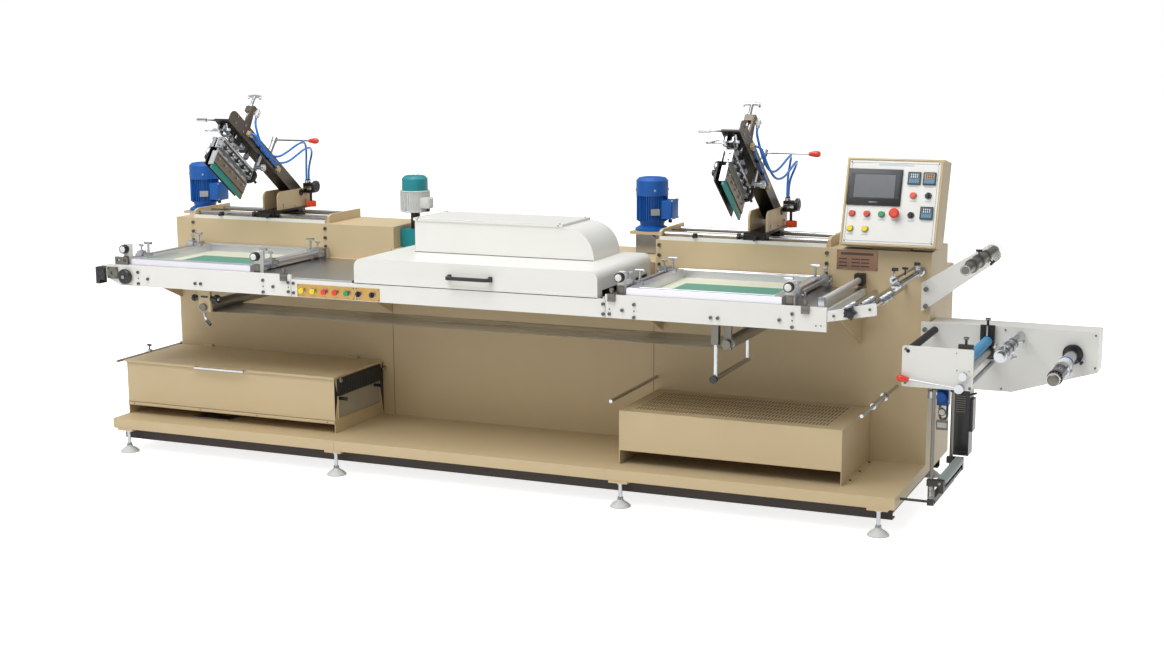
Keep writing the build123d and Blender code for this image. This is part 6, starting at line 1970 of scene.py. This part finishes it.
@dataclass
class VentDress:
    """Pressed slots in the top of the vented box and its seams.

    Attributes:
        x: The box's ends.
        front: Its front face.
        back: Back of the slotted field.
        top: Height of its top.
        rows: Rows of slots.
        pitch: Distance between slots in a row.
    """

    x: Pair = (2427.0, 3341.0)
    front: float = 94.0
    back: float = 490.0
    top: float = 375.0
    rows: int = 6
    pitch: float = 14.0

    def build(self) -> None:
        """Models the slotted field and the foot screws."""
        x0, x1 = self.x
        start, end = x0 + 52, x1 - 52
        depth = (self.back - 140) / self.rows
        plate = Workpiece.block((start - 6, end + 6), (136, self.back + 6),
                                (self.top - 0.2, self.top + 0.8)).soften(0.3, 1).paint(BEIGE)
        count = int((end - start) / self.pitch)
        slot = Workpiece.block((start, start + 4.6), (140 + depth * 0.14, 140 + depth * 0.86),
                               (self.top + 0.7, self.top + 1.2)).paint(SHADOW)
        lip = Workpiece.block((start + 4.6, start + 8), (140 + depth * 0.14, 140 + depth * 0.86),
                              (self.top + 0.7, self.top + 2.6)).soften(1, 1).paint(BEIGE)
        slot.merge(lip)
        slot.row(Axis.X, self.pitch, count)
        slot.row(Axis.Y, depth, self.rows)
        edge = Workpiece.wire(((x0, 535, self.top - 0.5), (x0, self.front, self.top - 0.5),
                               (x1, self.front, self.top - 0.5), (x1, 535, self.top - 0.5)),
                              1.6, smooth=False).paint(BEIGE)
        screws = screw_group(Axis.Z, 158, ((x1 + 14, 180), (x1 + 14, 330), (x1 + 14, 480)), 5)
        plate.merge(slot, edge, screws).settle("vented_box_dress", "machine")


@dataclass
class WinderDress:
    """Screws, slides, springs and shaft fittings of the winding side.

    Attributes:
        plate: Face of the winder's plate.
        nip: Face of the nip plate.
        reel: Axis of the upper reel shaft, along and up.
        rewind: Axis of the rewind shaft.
        collar: Axis of the collar shaft.
    """

    plate: float = 529.0
    nip: float = 55.0
    reel: Pair = (3812.0, 1034.0)
    rewind: Pair = (4125.0, 651.0)
    collar: Pair = (3925.0, 708.0)

    def build(self) -> None:
        """Models the fittings of the winding side."""
        big = screw_group(Axis.Y, self.plate, ((3553, 868), (3553, 800), (3553, 707)), 9.5, -1)
        small = screw_group(Axis.Y, self.plate, ((3866, 726), (4205, 726), (4207, 600),
                                                 (3858, 493)), 3.8, -1)
        nip = screw_group(Axis.Y, self.nip, ((3584, 715), (3585, 589), (3822, 584)), 5.5, -1)
        dots = screw_group(Axis.Y, self.nip, ((3770, 712), (3773, 648), (3818, 648)), 2.2, -1)
        knurl = Workpiece.ring(Axis.Y, (3796, 45, 627), 15.6, 1.2, 30)
        knurl.row(Axis.Y, 4, 3).paint(STEEL)
        pointer = Workpiece.rod(Axis.X, (3812, 3826), (49, 627), 3, 2, sides=12).paint(STEEL)
        slide = Workpiece.block((3779, 3787), (507.2, 509), (690, 735)).soften(0.8, 1)
        slide.merge(slide.twin((34, 0, 0))).paint(BLACK)
        guide = Workpiece.rod(Axis.Z, (702, 742), (3800, 506), 4, sides=14).paint(STEEL)
        marks = screw_group(Axis.Y, 509, ((3779, 620), (3821, 620), (3779, 682), (3821, 682)),
                            3, -1)
        knob = Workpiece.ring(Axis.Z, (3800, 518, 766), 10, 1.4, 20)
        knob.merge(Workpiece.ring(Axis.Z, (3800, 75, 766), 10, 1.4, 20)).paint(STEEL)
        big.merge(small, nip, dots, knurl, pointer, slide, guide, marks, knob,
                  self.collar_shaft(), self.dancer(), self.service(), self.guides())
        big.settle("winder_frame_dress", "machine")
        self.reels()

    def collar_shaft(self) -> Workpiece:
        """Models the wing screws and ring grooves of the collar shaft.

        Returns:
            The fittings.
        """
        x, z = self.collar
        about = (x, 0.0, z)
        pieces = []
        for y, turn in ((85, 20), (170, -60), (246, 150), (341, 80)):
            wing = wing_screw(Axis.Z, z + 22, (x, y), 20).turned(Axis.Y, turn, about)
            pieces.append(wing)
        groove = Workpiece.ring(Axis.Y, (x, 110, z), 17, 1.4, 24)
        groove.repeat([(0, 12 * i, 0) for i in (1, 2, 8, 9, 14, 15, 16, 17)])
        return pieces[0].merge(*pieces[1:], groove).paint(STEEL)

    def dancer(self) -> Workpiece:
        """Models the coil springs and clamp screws of the dancer's rods.

        Returns:
            The fittings.
        """
        coil = coil_spring((3684, 100, 191), 12.5, 46, 8).paint(STEEL)
        cuff = Workpiece.rod(Axis.Z, (560, 576), (3684, 100), 11, sides=20).soften(1.5, 2)
        cuff.merge(Workpiece.rod(Axis.Z, (478, 490), (3684, 470), 11, sides=20).soften(1.5, 2))
        cuff.paint(BLACK)
        bolts = screw_group(Axis.X, 3696, ((110, 130), (460, 130), (285, 130)), 5)
        return coil.merge(cuff, bolts)

    def service(self) -> Workpiece:
        """Models the gauge, knob flutes and box details of the air service unit.

        Returns:
            The fittings.
        """
        knob = Workpiece.rod(Axis.Y, (520, 556), (3646, 440), 1.6, sides=8)
        knob.wheel(Axis.Y, (3627, 0, 440), 18).paint(BLUE)
        gauge = Workpiece.rod(Axis.Y, (548, 556), (3627, 374), 15, sides=26).soften(1, 1)
        gauge.merge(Workpiece.ring(Axis.Y, (3627, 548, 374), 14, 1.4, 26)).paint(BLACK)
        dial = Workpiece.rod(Axis.Y, (546.8, 548.4), (3627, 374), 12.5, sides=26)
        dial.paint(WHITE_PLASTIC)
        door = Workpiece.block((3672, 3728), (555, 558.5), (215, 470)).shape((0, -1, 0), 6, -1)
        door.soften(1, 1).paint(BLACK)
        vent = Workpiece.block((3682, 3718), (554, 556), (380, 383))
        vent.row(Axis.Z, 9, 8).paint(GUNMETAL)
        clamp = Workpiece.wire(((3734, 560, 452), (3752, 556, 458), (3756, 570, 458),
                                (3752, 590, 452)), 4.5).paint(BLACK)
        label = Workpiece.block((3608, 3646), (554.5, 556.3), (310, 330)).soften(0.6, 1)
        bracket = Workpiece.block((3604, 3650), (556, 562), (300, 340)).soften(1, 1)
        label.paint(WHITE_PLASTIC).merge(bracket.paint(GUNMETAL))
        return knob.merge(gauge, dial, door, vent, clamp, label)

    def guides(self) -> Workpiece:
        """Models the springs, screws and pale roller of the web guides by the panel.

        Returns:
            The fittings.
        """
        spring = coil_spring((0, 0, 0), 14.5, 170, 17)
        spring.turned(Axis.X, 90)
        spring.obj.data.transform(Matrix.Translation(Vector((3408, 90, 858)) * MM))
        second = spring.twin((58, 40, 15))
        third = spring.twin((-58, -60, -16))
        spring.merge(second, third).paint(CHROME)
        roller = Workpiece.rod(Axis.Y, (-44, 494), (3290, 892), 13, sides=28).soften(1.5, 2)
        roller.paint(GREY_ROLLER)
        ends = Workpiece.block((3278, 3302), (-58, -44), (871, 906)).soften(2, 2).paint(STEEL)
        back = Workpiece.block((3272, 3310), (494, 538), (872, 918)).soften(2, 2).paint(CHARCOAL)
        knob = star_knob(Axis.Y, (-92, -80), (3403, 859), 21, 8).paint(BLACK)
        bolts = screw_group(Axis.Y, -66, ((3340, 842), (3474, 874)), 5, -1)
        wings = wing_screw(Axis.Z, 960, (3530, 250), 26).paint(BLACK)
        sleeve = Workpiece.rod(Axis.Y, (86, 150), (3530, 937), 15, sides=26).soften(1.5, 2)
        sleeve.merge(Workpiece.rod(Axis.Y, (520, 538), (3530, 937), 19, sides=26).soften(2, 2))
        sleeve.paint(CHROME)
        return spring.merge(roller, ends, back, knob, bolts, wings, sleeve)

    def reels(self) -> None:
        """Models the flange, wing screws and sleeves that turn with the two reel shafts."""
        x, z = self.reel
        about = (x, 0.0, z)
        disc = Workpiece.rod(Axis.Y, (512, 516), (x, z), 36, sides=48).soften(1, 2)
        disc.paint(CLEAR)
        wing = wing_screw(Axis.Z, z + 25, (x, 202), 14)
        wing.merge(wing_screw(Axis.Z, z + 23, (x, 340), 12).turned(Axis.Y, 130, about))
        wing.paint(BLACK)
        rings = Workpiece.ring(Axis.Y, (x, -54, z), 16, 2, 28)
        rings.repeat([(0, 24, 0)]).paint(STEEL)
        disc.merge(wing, rings).settle("upper_reel_shaft_dress", "upper_reel_shaft")
        x, z = self.rewind
        about = (x, 0.0, z)
        rim = Workpiece.ring(Axis.Y, (x, 510, z), 36, 3, 40).paint(BLACK)
        knob = star_knob(Axis.X, (x + 40, x + 50), (498, z), 9, 5)
        knob.merge(Workpiece.rod(Axis.X, (x + 22, x + 42), (498, z), 3, sides=12))
        knob.turned(Axis.Y, 40, about).paint(BLACK)
        sleeve = Workpiece.rod(Axis.Y, (235, 330), (x, z), 27, sides=36).soften(2, 2)
        sleeve.paint(WHITE_PLASTIC)
        band = Workpiece.rod(Axis.Y, (300, 322), (x, z), 27.6, sides=36).paint(BLUE)
        rib = Workpiece.block((x - 1.5, x + 1.5), (0, 140), (z + 23, z + 25.6)).soften(0.8, 1)
        rib.wheel(Axis.Y, about, 16).paint(GUNMETAL)
        cap = Workpiece.rod(Axis.Y, (-12, -7), (x, z), 17, 22, sides=28).soften(1, 2)
        cap.paint(GUNMETAL)
        screw = wing_screw(Axis.Z, z + 29, (x, 170), 10).turned(Axis.Y, 95, about).paint(STEEL)
        rim.merge(knob, sleeve, band, rib, cap, screw)
        rim.settle("rewind_shaft_dress", "rewind_shaft")


# --------------------------------------------------------------------------- the whole scene


class SubAssembly(Protocol):
    """What the main function asks of each sub-assembly."""

    def build(self) -> None:
        """Models the sub-assembly's pieces."""


def sub_assemblies() -> list[SubAssembly]:
    """Lists the sub-assemblies in building order."""
    return [
        MotorDress(-55.0, 1),
        MotorDress(2280.0, 2),
        FanMotorDress(),
        HeadDress(0),
        HeadDress(1),
        PanelDress(),
        RailDress(),
        ScreenDress(1, 183.0),
        ScreenDress(2, 2518.0),
        WebDress(),
        CabinetDress(),
        HoodDress(),
        BoxDress(),
        VentDress(),
        WinderDress(),
    ]


def main() -> None:
    """Loads the frame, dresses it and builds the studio."""
    logging.basicConfig(level=logging.INFO, format="%(name)s: %(message)s")
    bpy.ops.wm.read_factory_settings(use_empty=True)
    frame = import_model()
    nodes = frame["nodes"]
    for paint in node_paints():
        paint.apply(nodes)
    for sub_assembly in sub_assemblies():
        sub_assembly.build()
    Camera().build()
    Studio().build()
    bpy.context.scene.view_settings.view_transform = "Standard"
    LOG.info("dressed %d nodes", len(nodes))


if __name__ == "__main__":
    main()
